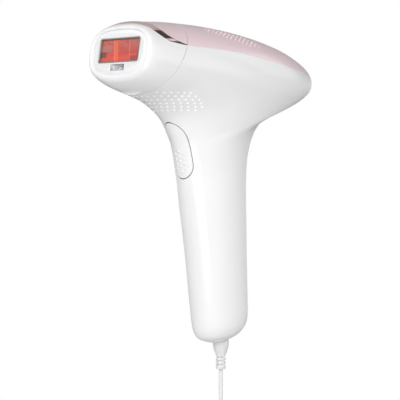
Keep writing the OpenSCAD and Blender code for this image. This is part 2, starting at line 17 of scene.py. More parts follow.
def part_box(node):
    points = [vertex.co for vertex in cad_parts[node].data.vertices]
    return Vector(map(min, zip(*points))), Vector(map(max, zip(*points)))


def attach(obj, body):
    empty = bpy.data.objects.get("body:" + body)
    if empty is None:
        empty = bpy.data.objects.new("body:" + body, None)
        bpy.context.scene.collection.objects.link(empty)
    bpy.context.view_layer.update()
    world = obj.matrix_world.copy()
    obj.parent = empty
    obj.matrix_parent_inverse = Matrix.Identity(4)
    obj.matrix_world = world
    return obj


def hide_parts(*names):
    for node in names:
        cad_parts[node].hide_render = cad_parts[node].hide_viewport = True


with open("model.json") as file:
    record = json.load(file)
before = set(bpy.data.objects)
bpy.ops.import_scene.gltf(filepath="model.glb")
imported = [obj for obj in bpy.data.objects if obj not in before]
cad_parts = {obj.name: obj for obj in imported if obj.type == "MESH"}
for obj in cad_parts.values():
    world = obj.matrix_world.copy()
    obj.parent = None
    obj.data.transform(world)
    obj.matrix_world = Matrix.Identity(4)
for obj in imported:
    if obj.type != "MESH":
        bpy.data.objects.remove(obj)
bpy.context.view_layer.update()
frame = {"nodes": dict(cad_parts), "record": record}
MM = 0.001


# ---------------------------------------------------------------- camera, lights, stage

CAMERA_AZIMUTH, CAMERA_DISTANCE, CAMERA_LENS = math.radians(49), 1.617, 235.8
CAMERA_TARGET = Vector((0, -0.0115, 0.020))


def make_camera():
    """Level, off to the front right, with a long lens."""
    data = bpy.data.cameras.new("camera")
    data.sensor_width, data.lens = 36, CAMERA_LENS
    data.clip_start, data.clip_end = 0.05, 20
    camera = bpy.data.objects.new("camera", data)
    bpy.context.scene.collection.objects.link(camera)
    back = Vector((math.sin(CAMERA_AZIMUTH), -math.cos(CAMERA_AZIMUTH), 0))
    camera.location = CAMERA_TARGET + back * CAMERA_DISTANCE
    camera.rotation_mode = "QUATERNION"
    camera.rotation_quaternion = (-back).to_track_quat("-Z", "Y")
    bpy.context.scene.camera = camera


LIGHT_SIZE, LIGHT_DISTANCE = 0.9, 1.7       # metres
LIGHTS = (                                  # name, azimuth, elevation, power
    ("camera_side", 49, 20, 14), ("front_key", 15, 35, 6.5), ("front_low", 20, -20, 6),
    ("right_fill", 120, 15, 1.5), ("rear_fill", 160, 25, 2.5), ("left_fill", -60, 25, 2))


def area_light(name, azimuth, elevation, power):
    """A square soft box on a sphere round the head, aimed at it. Azimuth 0 is in front, 90 on +X."""
    data = bpy.data.lights.new(name, "AREA")
    data.shape, data.size, data.energy = "SQUARE", LIGHT_SIZE, power
    light = bpy.data.objects.new(name, data)
    turn, lift = math.radians(azimuth), math.radians(elevation)
    away = Vector((math.sin(turn) * math.cos(lift), -math.cos(turn) * math.cos(lift), math.sin(lift)))
    light.location = Vector((0, 0, 0.03)) + away * LIGHT_DISTANCE
    light.rotation_mode = "QUATERNION"
    light.rotation_quaternion = (-away).to_track_quat("-Z", "Y")
    light.visible_camera = False
    bpy.context.scene.collection.objects.link(light)


def make_world():
    """White to the camera; to the object a bright wall all round, a darker ceiling and a grey ground."""
    world = bpy.data.worlds.new("studio")
    bpy.context.scene.world = world
    world.use_nodes = True
    tree = world.node_tree
    tree.nodes.clear()
    coords = node_of(tree, "ShaderNodeTexCoord")
    split = node_of(tree, "ShaderNodeSeparateXYZ")
    height = node_of(tree, "ShaderNodeMath", {1: 0.5, 2: 0.5}, operation="MULTIPLY_ADD")
    ramp = node_of(tree, "ShaderNodeValToRGB")
    lit = node_of(tree, "ShaderNodeBackground", {"Strength": 1.0})
    seen = node_of(tree, "ShaderNodeBackground", {"Color": (1, 1, 1, 1)})
    path = node_of(tree, "ShaderNodeLightPath")
    mix = node_of(tree, "ShaderNodeMixShader")
    out = node_of(tree, "ShaderNodeOutputWorld")
    stops = ramp.color_ramp.elements
    stops[0].position, stops[0].color = 0.0, (0.42, 0.42, 0.43, 1)
    stops[1].position, stops[1].color = 1.0, (0.24, 0.24, 0.24, 1)
    for at, level in ((0.38, 0.18), (0.5, 0.86), (0.62, 0.35)):
        stops.new(at).color = (level, level, level * 1.01, 1)
    for source, socket in (
            (coords.outputs["Generated"], split.inputs[0]), (split.outputs[2], height.inputs[0]),
            (height.outputs[0], ramp.inputs[0]), (ramp.outputs[0], lit.inputs[0]),
            (path.outputs["Is Camera Ray"], mix.inputs[0]), (lit.outputs[0], mix.inputs[1]),
            (seen.outputs[0], mix.inputs[2]), (mix.outputs[0], out.inputs[0])):
        tree.links.new(source, socket)
    view = bpy.context.scene.view_settings
    view.view_transform, view.look = "Standard", "None"


def make_floor():
    """A round pale floor under the lead and its adapter."""
    mesh = bpy.data.meshes.new("floor")
    sides, radius, gap = 96, 0.52, 0.0004
    turns = [2 * math.pi * i / sides for i in range(sides)]
    points = [(radius * math.cos(t), radius * math.sin(t), FLOOR_Z * MM - gap) for t in turns]
    mesh.from_pydata(points, [], [list(range(sides))])
    floor = bpy.data.objects.new("floor", mesh)
    bpy.context.scene.collection.objects.link(floor)
    mesh.materials.append(surface("floor_paper", (0.93, 0.93, 0.93), 0.6, bump=0.02, grain=900))


# ---------------------------------------------------------------- materials

def fill(node, inputs):
    """Sets unlinked sockets by name or number."""
    for socket, value in inputs.items():
        node.inputs[socket].default_value = value


def node_of(tree, kind, inputs=None, **values):
    """A new node with its properties and its unlinked sockets set."""
    node = tree.nodes.new(kind)
    for name, value in values.items():
        setattr(node, name, value)
    fill(node, inputs or {})
    return node


def texture_of(tree, kind, inputs, **values):
    """A texture in the object's own coordinates."""
    texture = node_of(tree, kind, inputs, **values)
    coords = node_of(tree, "ShaderNodeTexCoord")
    tree.links.new(coords.outputs["Object"], texture.inputs["Vector"])
    return texture


def shader_of(material):
    return material.node_tree.nodes["Principled BSDF"]


def surface(name, colour, rough, metal=0.0, bump=0.05, grain=600, vary=0.03, coat=0.0, edge=0.0,
            edge_colour=None, spec=0.5, mottle=40):
    """A procedural solid: broad colour drift, fine grain in the bump and roughness, and worn edges."""
    material = bpy.data.materials.new(name)
    material.use_nodes = True
    tree, shader = material.node_tree, shader_of(material)
    link = tree.links.new
    fill(shader, {"Metallic": metal, "Coat Weight": coat, "Coat Roughness": 0.06,
                  "Specular IOR Level": spec})
    broad = texture_of(tree, "ShaderNodeTexNoise", {"Scale": mottle, "Detail": 3})
    fine = texture_of(tree, "ShaderNodeTexNoise", {"Scale": grain, "Detail": 2})
    low, high = [c * (1 - vary) for c in colour], [min(1, c * (1 + vary)) for c in colour]
    drift = node_of(tree, "ShaderNodeMix", {"A": (*low, 1), "B": (*high, 1)}, data_type="RGBA")
    link(broad.outputs["Fac"], drift.inputs["Factor"])
    base = drift.outputs["Result"]
    if edge > 0:
        geometry = node_of(tree, "ShaderNodeNewGeometry")
        worn = node_of(tree, "ShaderNodeMapRange", {"From Min": 0.52, "From Max": 0.62, "To Max": edge})
        wear = node_of(tree, "ShaderNodeMix", {"B": (*(edge_colour or high), 1)}, data_type="RGBA")
        link(geometry.outputs["Pointiness"], worn.inputs["Value"])
        link(worn.outputs["Result"], wear.inputs["Factor"])
        link(base, wear.inputs["A"])
        base = wear.outputs["Result"]
    link(base, shader.inputs["Base Color"])
    spread = node_of(tree, "ShaderNodeMapRange",
                     {"To Min": max(0.02, rough * 0.85), "To Max": min(1, rough * 1.2)})
    link(fine.outputs["Fac"], spread.inputs["Value"])
    link(spread.outputs["Result"], shader.inputs["Roughness"])
    dent = node_of(tree, "ShaderNodeBump", {"Strength": bump, "Distance": 0.0002})
    link(fine.outputs["Fac"], dent.inputs["Height"])
    link(dent.outputs["Normal"], shader.inputs["Normal"])
    return material


def pearl(name, colour):
    """Pearlescent lacquer: a satin base with fine mica flakes under a clear coat."""
    material = surface(name, colour, 0.3, bump=0.015, grain=2600, vary=0.02, coat=0.35,
                       edge=0.4, edge_colour=[min(1, c * 1.08) for c in colour])
    tree = material.node_tree
    flakes = texture_of(tree, "ShaderNodeTexVoronoi", {"Scale": 4200})
    spark = node_of(tree, "ShaderNodeMapRange", {"To Min": 0.02, "To Max": 0.2})
    tree.links.new(flakes.outputs["Color"], spark.inputs["Value"])
    tree.links.new(spark.outputs["Result"], shader_of(material).inputs["Metallic"])
    return material


class Painter:
    """Bands of colour over a base, worked out from the object's own coordinates in metres."""

    def __init__(self, material, base):
        self.tree = material.node_tree
        self.colour = base
        coords = node_of(self.tree, "ShaderNodeTexCoord")
        split = node_of(self.tree, "ShaderNodeSeparateXYZ")
        self.tree.links.new(coords.outputs["Object"], split.inputs[0])
        self.x, self.y, self.z = split.outputs

    def maths(self, operation, a, b=None, clamp=False):
        node = node_of(self.tree, "ShaderNodeMath", operation=operation, use_clamp=clamp)
        for socket, value in zip(node.inputs, (a, b)):
            if isinstance(value, (int, float)):
                socket.default_value = value
            elif value is not None:
                self.tree.links.new(value, socket)
        return node.outputs[0]

    def along(self, value, slope, other):
        """value + slope * other"""
        return self.maths("ADD", value, self.maths("MULTIPLY", other, slope))

    def band(self, value, low, high, soft):
        """1 between low and high, fading to 0 over soft."""
        centre, half = (low + high) / 2, (high - low) / 2
        far = self.maths("ABSOLUTE", self.maths("SUBTRACT", value, centre))
        return self.maths("DIVIDE", self.maths("SUBTRACT", half + soft, far), soft, clamp=True)

    def both(self, a, b):
        return self.maths("MULTIPLY", a, b)

    def paint(self, colour, factor, strength=1.0):
        mix = node_of(self.tree, "ShaderNodeMix", {"B": (*colour, 1)}, data_type="RGBA")
        if isinstance(self.colour, tuple):
            mix.inputs["A"].default_value = (*self.colour, 1)
        else:
            self.tree.links.new(self.colour, mix.inputs["A"])
        self.tree.links.new(self.both(factor, strength), mix.inputs["Factor"])
        self.colour = mix.outputs["Result"]

    def streaks(self, across, up, length, thickness, low, gain):
        """Long thin noise streaks, from 0 to 1."""
        stretch = node_of(self.tree, "ShaderNodeCombineXYZ")
        self.tree.links.new(self.both(across, 1 / length), stretch.inputs[0])
        self.tree.links.new(self.both(up, 1 / thickness), stretch.inputs[2])
        noise = node_of(self.tree, "ShaderNodeTexNoise", {"Scale": 1.0, "Detail": 3})
        self.tree.links.new(stretch.outputs[0], noise.inputs["Vector"])
        return self.maths("MULTIPLY", self.maths("SUBTRACT", noise.outputs["Fac"], low), gain, clamp=True)

    def finish(self, *sockets):
        for socket in sockets:
            self.tree.links.new(self.colour, socket)


GLASS_PAINTED_REFLECTION_AND_SHADE = (       # colour, across (low, high, soft), up (low, high, soft), strength: a painted pale reflection and painted shade in the dark corners
    ((0.4, 0.12, 0.1), (-0.019, -0.0095, 0.002), (-0.0005, 0.0028, 0.0008), 0.85),
    ((0.09, 0.02, 0.012), (-0.019, -0.0132, 0.0008), (-0.0041, -0.001, 0.0005), 0.85),
    ((0.12, 0.02, 0.015), (0.0165, 0.019, 0.0008), (-0.0052, 0.0012, 0.001), 0.8),
    ((0.2, 0.02, 0.015), (0.0095, 0.0182, 0.001), (-0.0062, -0.0042, 0.0006), 0.75))
GLASS_PAINTED_REFLECTION_BANDS = (         # upright bands of painted reflection, the lamp's orange band and thin pale lines: colour, low, high, soft, strength
    ((0.78, 0.095, 0.008), -0.0046, -0.0026, 0.0005, 0.9),
    ((0.85, 0.2, 0.1), -0.0059, -0.0055, 0.0004, 0.8),
    ((0.8, 0.17, 0.1), 0.0084, 0.0087, 0.0004, 0.6))


def filter_glass(name):
    """Red filter glass over the mirrored tunnel, with its reflections painted on: streaked reds, an orange
    lamp band, a thin pale painted highlight line and painted shade in the dark corners, all fixed to the
    glass."""
    material = surface(name, (0.45, 0.02, 0.012), 0.12, bump=0.01, grain=300, coat=0.6, spec=0.3)
    shader = shader_of(material)
    p = Painter(material, (0.44, 0.03, 0.018))
    up = p.maths("SUBTRACT", p.z, FACE_Z * MM)
    # Masks for painted reflections of the mirrored tunnel: two sets of streaks, a fade over the upper half
    # and a fade along the bottom.
    steep_reflection_streaks = p.streaks(p.x, p.along(up, 0.34, p.x), 0.014, 0.0013, 0.42, 4.0)
    flat = p.streaks(p.x, p.along(up, -0.1, p.x), 0.017, 0.0009, 0.45, 4.0)
    high = p.maths("DIVIDE", p.maths("ADD", up, 0.001), 0.004, clamp=True)
    low = p.maths("DIVIDE", p.maths("SUBTRACT", -0.0022, up), 0.002, clamp=True)
    # Painted reflections: brighter red streaks, pale grey streaks and a pale patch up top, and a brighter red
    # glow along the bottom.
    p.paint((0.62, 0.045, 0.02), flat)
    p.paint((0.43, 0.13, 0.1), p.both(high, steep_reflection_streaks), 0.95)
    p.paint((0.36, 0.1, 0.08), p.both(high, p.band(p.x, 0.009, 0.019, 0.002)), 0.6)
    p.paint((0.7, 0.045, 0.02), low, 0.7)
    # Painted reflection in a pale patch, and painted shade in the dark corners.
    for colour, across, rise, strength in GLASS_PAINTED_REFLECTION_AND_SHADE:
        p.paint(colour, p.both(p.band(p.x, *across), p.band(up, *rise)), strength)
    lean = p.along(p.x, 0.17, up)
    # Painted reflections of the lamp: an orange band and thin pale lines.
    for colour, start, end, soft, strength in GLASS_PAINTED_REFLECTION_BANDS:
        p.paint(colour, p.band(lean, start, end, soft), strength)
    p.finish(shader.inputs["Base Color"], shader.inputs["Emission Color"])
    # The painted colour also glows faintly, though the glass is no lamp: painted light.
    shader.inputs["Emission Strength"].default_value = 0.06
    return material


def trim_painted_reflection_material(name):
    """Mirror-bright rose plating with its reflections painted on: dark bands across its middle and near its
    tip, between its two bright runs.
    """
    material = surface(name, (0.95, 0.7, 0.66), 0.22, metal=0.7, bump=0.01, grain=900)
    p = Painter(material, (1.0, 0.8, 0.78))
    # Painted reflections: a coppery band and two dark bands stand in for reflected dark surroundings; the
    # pale line between the dark bands is the plain plating.
    p.paint((0.95, 0.6, 0.53), p.band(p.z, 0.1196, 0.1224, 0.0008), 0.6)
    p.paint((0.13, 0.08, 0.07), p.band(p.z, 0.1166, 0.1212, 0.0004))
    p.paint((0.09, 0.055, 0.052), p.band(p.z, 0.1105, 0.1148, 0.0004))
    p.finish(shader_of(material).inputs["Base Color"])
    return material


def clear_glass(name):
    material = surface(name, (0.92, 0.97, 0.98), 0.03, bump=0.01, grain=300, vary=0.01)
    fill(shader_of(material), {"Transmission Weight": 0.9, "IOR": 1.46, "Alpha": 0.5})
    return material


def coloured_by(material, texture):
    """Takes the material's colour from a texture."""
    material.node_tree.links.new(texture.outputs["Color"], shader_of(material).inputs["Base Color"])
    return material


def board_material(name):
    """Green solder mask with copper tracks showing through it."""
    material = surface(name, (0.02, 0.12, 0.05), 0.3, bump=0.05, grain=500, coat=0.3)
    return coloured_by(material, texture_of(material.node_tree, "ShaderNodeTexBrick", {
        "Scale": 260, "Color1": (0.02, 0.11, 0.05, 1), "Color2": (0.03, 0.16, 0.07, 1),
        "Mortar": (0.06, 0.26, 0.1, 1)}))


def mesh_material(name):
    """Woven filter cloth."""
    material = surface(name, (0.05, 0.05, 0.055), 0.8, bump=0.2, grain=900)
    return coloured_by(material, texture_of(material.node_tree, "ShaderNodeTexChecker", {
        "Scale": 1600, "Color1": (0.09, 0.09, 0.1, 1), "Color2": (0.02, 0.02, 0.022, 1)}))


def sensor_material(name):
    """Silvered plastic with soft facets."""
    material = surface(name, (0.55, 0.55, 0.56), 0.16, metal=0.75, bump=0.03, grain=500, vary=0.05)
    tree = material.node_tree
    facets = texture_of(tree, "ShaderNodeTexVoronoi", {"Scale": 420}, feature="F1")
    ramp = node_of(tree, "ShaderNodeValToRGB")
    ramp.color_ramp.elements[0].color = (0.22, 0.22, 0.23, 1)
    ramp.color_ramp.elements[1].color = (0.72, 0.72, 0.73, 1)
    tree.links.new(facets.outputs["Color"], ramp.inputs[0])
    return coloured_by(material, ramp)


def winding_material(name, colour, rough):
    """Turns of wire or tape across X."""
    material = surface(name, colour, rough, bump=0.1, grain=400)
    tree = material.node_tree
    turns = texture_of(tree, "ShaderNodeTexWave", {"Scale": 500}, wave_type="BANDS", bands_direction="X")
    dent = node_of(tree, "ShaderNodeBump", {"Strength": 0.6, "Distance": 0.0003})
    tree.links.new(turns.outputs["Fac"], dent.inputs["Height"])
    tree.links.new(dent.outputs["Normal"], shader_of(material).inputs["Normal"])
    return material


def make_materials():
    white = dict(bump=0.02, grain=1400, vary=0.006, mottle=25, edge=0.5, edge_colour=(1.0, 1.0, 1.0))
    grey = dict(bump=0.15, grain=900, edge=0.3)
    return {
        "white_shell": surface("white_gloss_plastic", (0.86, 0.86, 0.865), 0.22, coat=0.35, **white),
        "face_plastic": surface("face_satin_plastic", (0.74, 0.74, 0.745), 0.34, coat=0.1, **white),
        "pearl_pink": pearl("pearl_pink_lacquer", (0.9, 0.72, 0.755)),
        "rose_gold_trim": trim_painted_reflection_material("rose_gold_plating_painted_reflections"),
        "frame_metal": surface("window_frame_metal", (0.26, 0.27, 0.245), 0.36, metal=0.35, bump=0.06,
                               grain=1500, edge=0.4, edge_colour=(0.42, 0.43, 0.4)),
        "filter_glass": filter_glass("red_filter_glass_painted_reflections"),
        "sensor_lens": sensor_material("sensor_lens_silver"),
        "mirror_metal": surface("polished_reflector", (0.86, 0.86, 0.87), 0.08, 1.0, 0.03, 300),
        "circuit_board": board_material("green_board"),
        "dark_plastic": surface("dark_plastic", (0.03, 0.03, 0.033), 0.5, **grey),
        "frame_plastic": surface("grey_frame_plastic", (0.16, 0.165, 0.18), 0.5, **grey),
        "contact_brass": surface("gold_contacts", (0.9, 0.66, 0.25), 0.2, 1.0, 0.05, 900),
        "clear_glass": clear_glass("clear_glass"),
        "ceramic": surface("ceramic", (0.82, 0.79, 0.72), 0.7, 0.0, 0.2, 1200),
        "steel": surface("bright_steel", (0.62, 0.62, 0.63), 0.25, 1.0, 0.08, 1600),
        "heat_sink_metal": surface("milled_aluminium", (0.62, 0.63, 0.64), 0.35, 1.0, 0.15, 1200),
        "copper_coil": winding_material("copper_winding", (0.5, 0.2, 0.08), 0.3),
        "capacitor_sleeve": surface("capacitor_sleeve", (0.02, 0.03, 0.09), 0.25, 0.0, 0.03, 200),
        "transformer_tape": winding_material("transformer_tape", (0.7, 0.55, 0.08), 0.4),
        "wire_red": surface("red_wire", (0.5, 0.02, 0.02), 0.4, 0.0, 0.03, 700),
        "filter_mesh": mesh_material("filter_mesh"),
        "button_grey": surface("button_grey_gloss", (0.16, 0.165, 0.175), 0.2, coat=0.5, bump=0.02,
                               grain=900, edge=0.4, edge_colour=(0.35, 0.35, 0.36)),
        "light_guide": surface("frosted_light_guide", (0.75, 0.78, 0.8), 0.35, 0.0, 0.03, 1600),
        "plug_metal": surface("nickel_plate", (0.72, 0.71, 0.68), 0.16, metal=1.0, bump=0.04, grain=900,
                              edge=0.3, edge_colour=(0.85, 0.84, 0.8)),
        "cord_white": surface("white_cord_rubber", (0.78, 0.78, 0.785), 0.42, 0.0, 0.08, 1800, 0.02),
        "tie_black": surface("black_tie", (0.02, 0.02, 0.02), 0.6, 0.0, 0.3, 1400),
    }


# ---------------------------------------------------------------- the body's surface

# Ribs of the body, the same as in the CAD: [inner y, inner z, outer y, outer z, half width,
# place of the widest point, roundness of the inner half, roundness of the outer half].
RIBS = np.array([
    [-78.6, 95.6, -74.2, 122.4, 25.4, 0.5, 2.7, 3],
    [-79, 93.2, -74, 124.6, 27.5, 0.49, 2.55, 2.8],
    [-77.7, 90.6, -71, 126.4, 29.4, 0.47, 2.45, 2.6],
    [-73.2, 87.6, -63.5, 127.6, 30.4, 0.46, 2.4, 2.3],
    [-68.5, 85.6, -51, 128.2, 30.7, 0.46, 2.4, 2.1],
    [-63.5, 83.8, -37.5, 128.1, 31, 0.45, 2.3, 2],
    [-57, 81.4, -16, 127, 31.4, 0.46, 2.2, 2],
    [-51, 78.8, 8, 124.2, 31.8, 0.48, 2.1, 2],
    [-45.5, 75.4, 30, 120, 31.8, 0.5, 2.1, 2],
    [-41, 71.5, 49.5, 114.6, 31.2, 0.5, 2, 2],
    [-37.8, 67.6, 64, 108.5, 30, 0.5, 2, 2],
    [-35.6, 63.8, 74, 102.6, 28.7, 0.48, 2, 1.95],
    [-34, 60.2, 78.8, 96.6, 27.2, 0.46, 2, 1.9],
    [-32.5, 57.2, 78.2, 90.6, 25.8, 0.44, 2, 1.85],
    [-31.2, 54.4, 71.5, 85.8, 24.6, 0.43, 2, 1.85],
    [-30.1, 51.6, 60, 82.4, 23.6, 0.42, 2, 1.85],
    [-29.1, 48.6, 48, 78.4, 22.6, 0.42, 2, 1.9],
    [-28.2, 45.2, 37.5, 73.6, 21.7, 0.44, 2, 1.9],
    [-27.3, 41.2, 29.6, 66.5, 20.9, 0.46, 2, 2],
    [-26.4, 36.4, 24.8, 57.5, 20.2, 0.48, 2, 2],
    [-25.4, 31, 22, 47, 19.6, 0.5, 2, 2],
    [-24.2, 24, 20.8, 35, 19.2, 0.5, 2.05, 2.05],
    [-22.7, 15, 20.6, 21, 18.8, 0.5, 2.1, 2.1],
    [-20.7, 2, 21, 4, 18.3, 0.5, 2.1, 2.1],
    [-18.4, -14, 21.4, -14, 17.7, 0.5, 2.1, 2.1],
    [-16.4, -32, 22.1, -30, 17, 0.5, 2.1, 2.1],
    [-14.6, -48, 22.6, -42, 16.4, 0.5, 2.1, 2.1],
    [-13.6, -56, 22.8, -50, 16, 0.5, 2.1, 2.1],
    [-12.3, -62, 21.6, -56, 14.8, 0.5, 2.1, 2.1],
    [-9.2, -66.4, 17.4, -61.8, 11.4, 0.5, 2.1, 2.1],
    [-2.5, -68.3, 9.6, -66.4, 5.2, 0.5, 2.1, 2.1],
])
FOOT_TIP = np.array([3.2, -68.9, 3.8, -68.8, 0.2, 0.5, 2.1, 2.1])    # only steers the last curve
SPLIT_LINE = [[-47, 112.9], [-36, 112.4], [-24, 111.7], [-1, 109.6], [22, 106.2],
              [36, 104], [50, 101.6], [61, 99.8], [72, 98.6], [90, 98]]
TRIM_FRONT = [[-73, 132], [-72.2, 126], [-70.5, 123.3], [-66.8, 119.3], [-63, 116.5],
              [-60, 114.7], [-56, 113.8], [-50, 113.1], [-40, 112.9]]
TRIM_BACK = [[-63.4, 132], [-63.6, 126], [-63, 123.3], [-60.5, 119.6], [-56.8, 117],
             [-52.9, 115.3], [-49.7, 114.2], [-46, 113.2], [-40, 112.9]]
SEAM_RIB = 5
LAST_RIB = len(RIBS) - 1
SEAM_GAP = 0.3
WALL = 2.0
FACE_Y, FACE_Z, FACE_TILT = -76.1, 110.2, math.radians(9.6)
FACE_T = 2.2
WINDOW_W, WINDOW_H, WINDOW_R = 38.0, 15.0, 1.6
SENSOR_V, SENSOR_W, SENSOR_H = -11.3, 13.2, 5.0
FLASH_W, FLASH_H, FLASH_Z = 17.8, 34.8, 50.1
POWER_W, POWER_H, POWER_Z = 13.0, 8.4, 94.0
BUTTON_GAP = 0.35
CAP_INSET = 0.5         # of the flash button's cap, so that the dark ring of painted shade in its gap shows
STRIP_W, STRIP_H = 17.0, 112.0
PLUG_Y = 5.6
FLOOR_Z = -150.0
SEAM_Y, SEAM_Z, SEAM_TILT = -50.5, 105.95, math.radians(30.4)
TRIM_RIDGE = 0.7        # height of the trim's ridge over the skin
VENT_PITCH, VENT_TOP, VENT_ROW = 4.3, 84.6, 2.04
VENT_ENDS = (-39.6, -33.4, -29.4, -27.2, -28.6, -31.4)      # where each row of vent dots ends, in y
EDGE_STEPS = np.array([0, 0.03, 0.08, 0.15, 0.25])          # fine rows (mm) along a plain edge
FINE_STEPS = np.array([0, 0.06, 0.16, 0.3, 0.5])            # fine columns (mm) along a side edge
NOSE_STEPS = np.array([0, 0.06, 0.16, 0.3, 0.5, 0.75, 1.1])
EDGE_R, NOSE_EDGE_R = 0.22, 0.8
ROW_LENGTH = 14.0       # mean distance between two ribs at the seam
STEERED_RIBS = np.vstack([RIBS[:1], RIBS, [FOOT_TIP]])


def spline(a, b, c, d, t):
    return 0.5 * (2 * b + (c - a) * t + (2 * a - 5 * b + 4 * c - d) * t * t
                  + (3 * b - a - 3 * c + d) * t * t * t)


def rib_at(s):
    """The rib at place s (a float or an array) along the body, 0 at the nose, LAST_RIB at the foot."""
    s = np.clip(np.asarray(s, float), 0, LAST_RIB)
    i = np.minimum(s.astype(int), LAST_RIB - 1)
    t = (s - i)[..., None]
    rib = [STEERED_RIBS[i + k] for k in range(4)]
    return spline(*rib, t)


def signed_pow(v, e):
    return np.sign(v) * np.abs(v) ** e


def skin(s, a):
    """Points of the outer skin at places s and angles a (0 top or back, pi underside or front)."""
    s, a = np.broadcast_arrays(np.asarray(s, float), np.asarray(a, float))
    r = rib_at(s)
    n = np.where(np.cos(a) < 0, r[..., 6], r[..., 7])
    u = signed_pow(np.cos(a), 2 / n)
    wide = r[..., 5]
    p = np.where(u < 0, wide * (1 + u), wide + u * (1 - wide))
    x = r[..., 4] * signed_pow(np.sin(a), 2 / n)
    y = r[..., 0] + (r[..., 2] - r[..., 0]) * p
    z = r[..., 1] + (r[..., 3] - r[..., 1]) * p
    return np.stack([x, y, z], -1)


def skin_normals(s, a):
    """Outward unit normals of the skin."""
    ds, da = 0.02, 0.004
    s = np.clip(s, ds, LAST_RIB - ds)
    along = skin(s + ds, a) - skin(s - ds, a)
    around = skin(s, a + da) - skin(s, a - da)
    n = np.cross(around, along)
    return n / np.maximum(np.linalg.norm(n, axis=-1, keepdims=True), 1e-9)


def dense_line(points, steps=12):
    """The smooth line through points, as the CAD draws it."""
    p = np.array(points, float)
    n = len(p) - 1
    line = [spline(p[max(i - 1, 0)], p[i], p[i + 1], p[min(i + 2, n)], k / steps)
            for i in range(n) for k in range(steps)]
    return np.array(line + [p[n]])


def first_crossing(test, low, high, count=400):
    """The first place from low to high where test turns positive, or high."""
    places = np.linspace(low, high, count)
    values = test(places)
    hits = np.nonzero(values > 0)[0]
    if len(hits) == 0:
        return high
    k = hits[0]
    if k == 0:
        return low
    a, b = values[k - 1], values[k]
    return places[k - 1] + (places[k] - places[k - 1]) * (-a) / (b - a)


split_line = dense_line(SPLIT_LINE)
trim_front = dense_line(TRIM_FRONT)
trim_back = dense_line(TRIM_BACK)


def below_split(s, a):
    """How far the skin at places s and angles a lies below the edge of the top cover."""
    p = skin(s, a)
    return np.interp(p[:, 1], split_line[:, 0], split_line[:, 1]) - p[:, 2]


def split_angle(s):
    """The angle at which rib s meets the edge between top cover and body."""
    return first_crossing(lambda a: below_split(s, a), 0.0, math.pi, 900)


def body_end():
    """The place at which the split line reaches the rear tip."""
    return first_crossing(lambda s: below_split(s, 0.0), 8.0, 14.0, 2000)


def trim_place(line, a):
    """The place s, nose to seam, at which the skin at angle a passes a trim curve."""
    order = np.argsort(line[:, 1])

    def behind(s):
        p = skin(s, a)
        return p[:, 1] - np.interp(p[:, 2], line[order, 1], line[order, 0])
    return first_crossing(behind, 0.0, float(SEAM_RIB))


# ---------------------------------------------------------------- mesh tools

def to_object(name, points, faces, slot=None, smooth=True):
    """A mesh object from millimetre points, with close points merged."""
    mesh = bpy.data.meshes.new(name)
    mesh.from_pydata((np.asarray(points, float) * MM).tolist(), [], [list(f) for f in faces])
    bm = bmesh.new()
    bm.from_mesh(mesh)
    bmesh.ops.remove_doubles(bm, verts=bm.verts, dist=2e-7)
    bmesh.ops.dissolve_degenerate(bm, edges=bm.edges, dist=1e-7)
    bmesh.ops.recalc_face_normals(bm, faces=bm.faces)
    bm.to_mesh(mesh)
    bm.free()
    if smooth:
        mesh.shade_smooth()
    made = bpy.data.objects.new(name, mesh)
    bpy.context.scene.collection.objects.link(made)
    if slot:
        finish_piece(made, slot)
    return made


def finish_piece(piece, slot):
    piece.data.materials.clear()
    piece.data.materials.append(MATERIALS[slot])


def boolean(piece, other, operation="DIFFERENCE"):
    """Cuts or joins with another object, which is then removed."""
    bpy.context.view_layer.update()
    cut = piece.modifiers.new("cut", "BOOLEAN")
    cut.operation, cut.object, cut.solver = operation, other, "MANIFOLD"
    graph = bpy.context.evaluated_depsgraph_get()
    mesh = bpy.data.meshes.new_from_object(piece.evaluated_get(graph), depsgraph=graph)
    piece.modifiers.clear()
    old, piece.data = piece.data, mesh
    bpy.data.meshes.remove(old)
    old = other.data
    bpy.data.objects.remove(other)
    bpy.data.meshes.remove(old)


def sharpen(piece, degrees):
    """Smooth shading with the edges over a limit left sharp."""
    mesh = piece.data
    mesh.shade_smooth()
    mesh.set_sharp_from_angle(angle=math.radians(degrees))


def grid_faces(rows, columns, flip=False, start=0):
    corners = [start + i * columns + j for i in range(rows - 1) for j in range(columns - 1)]
    quads = [(a, a + columns, a + columns + 1, a + 1) for a in corners]
    return [quad[::-1] for quad in quads] if flip else quads


def tube_faces(rows, n, start=0, joined=False):
    """Quads from each closed ring of n points to the next; joined also ties the last to the first."""
    faces = []
    for i in range(rows if joined else rows - 1):
        a, b = start + i * n, start + (i + 1) % rows * n
        faces += [(a + j, a + (j + 1) % n, b + (j + 1) % n, b + j) for j in range(n)]
    return faces


def rounding(distance, radius):
    """How deep a rounded edge sinks at a distance from the edge."""
    d = np.clip(radius - distance, 0, radius)
    return radius - np.sqrt(np.maximum(radius * radius - d * d, 0))


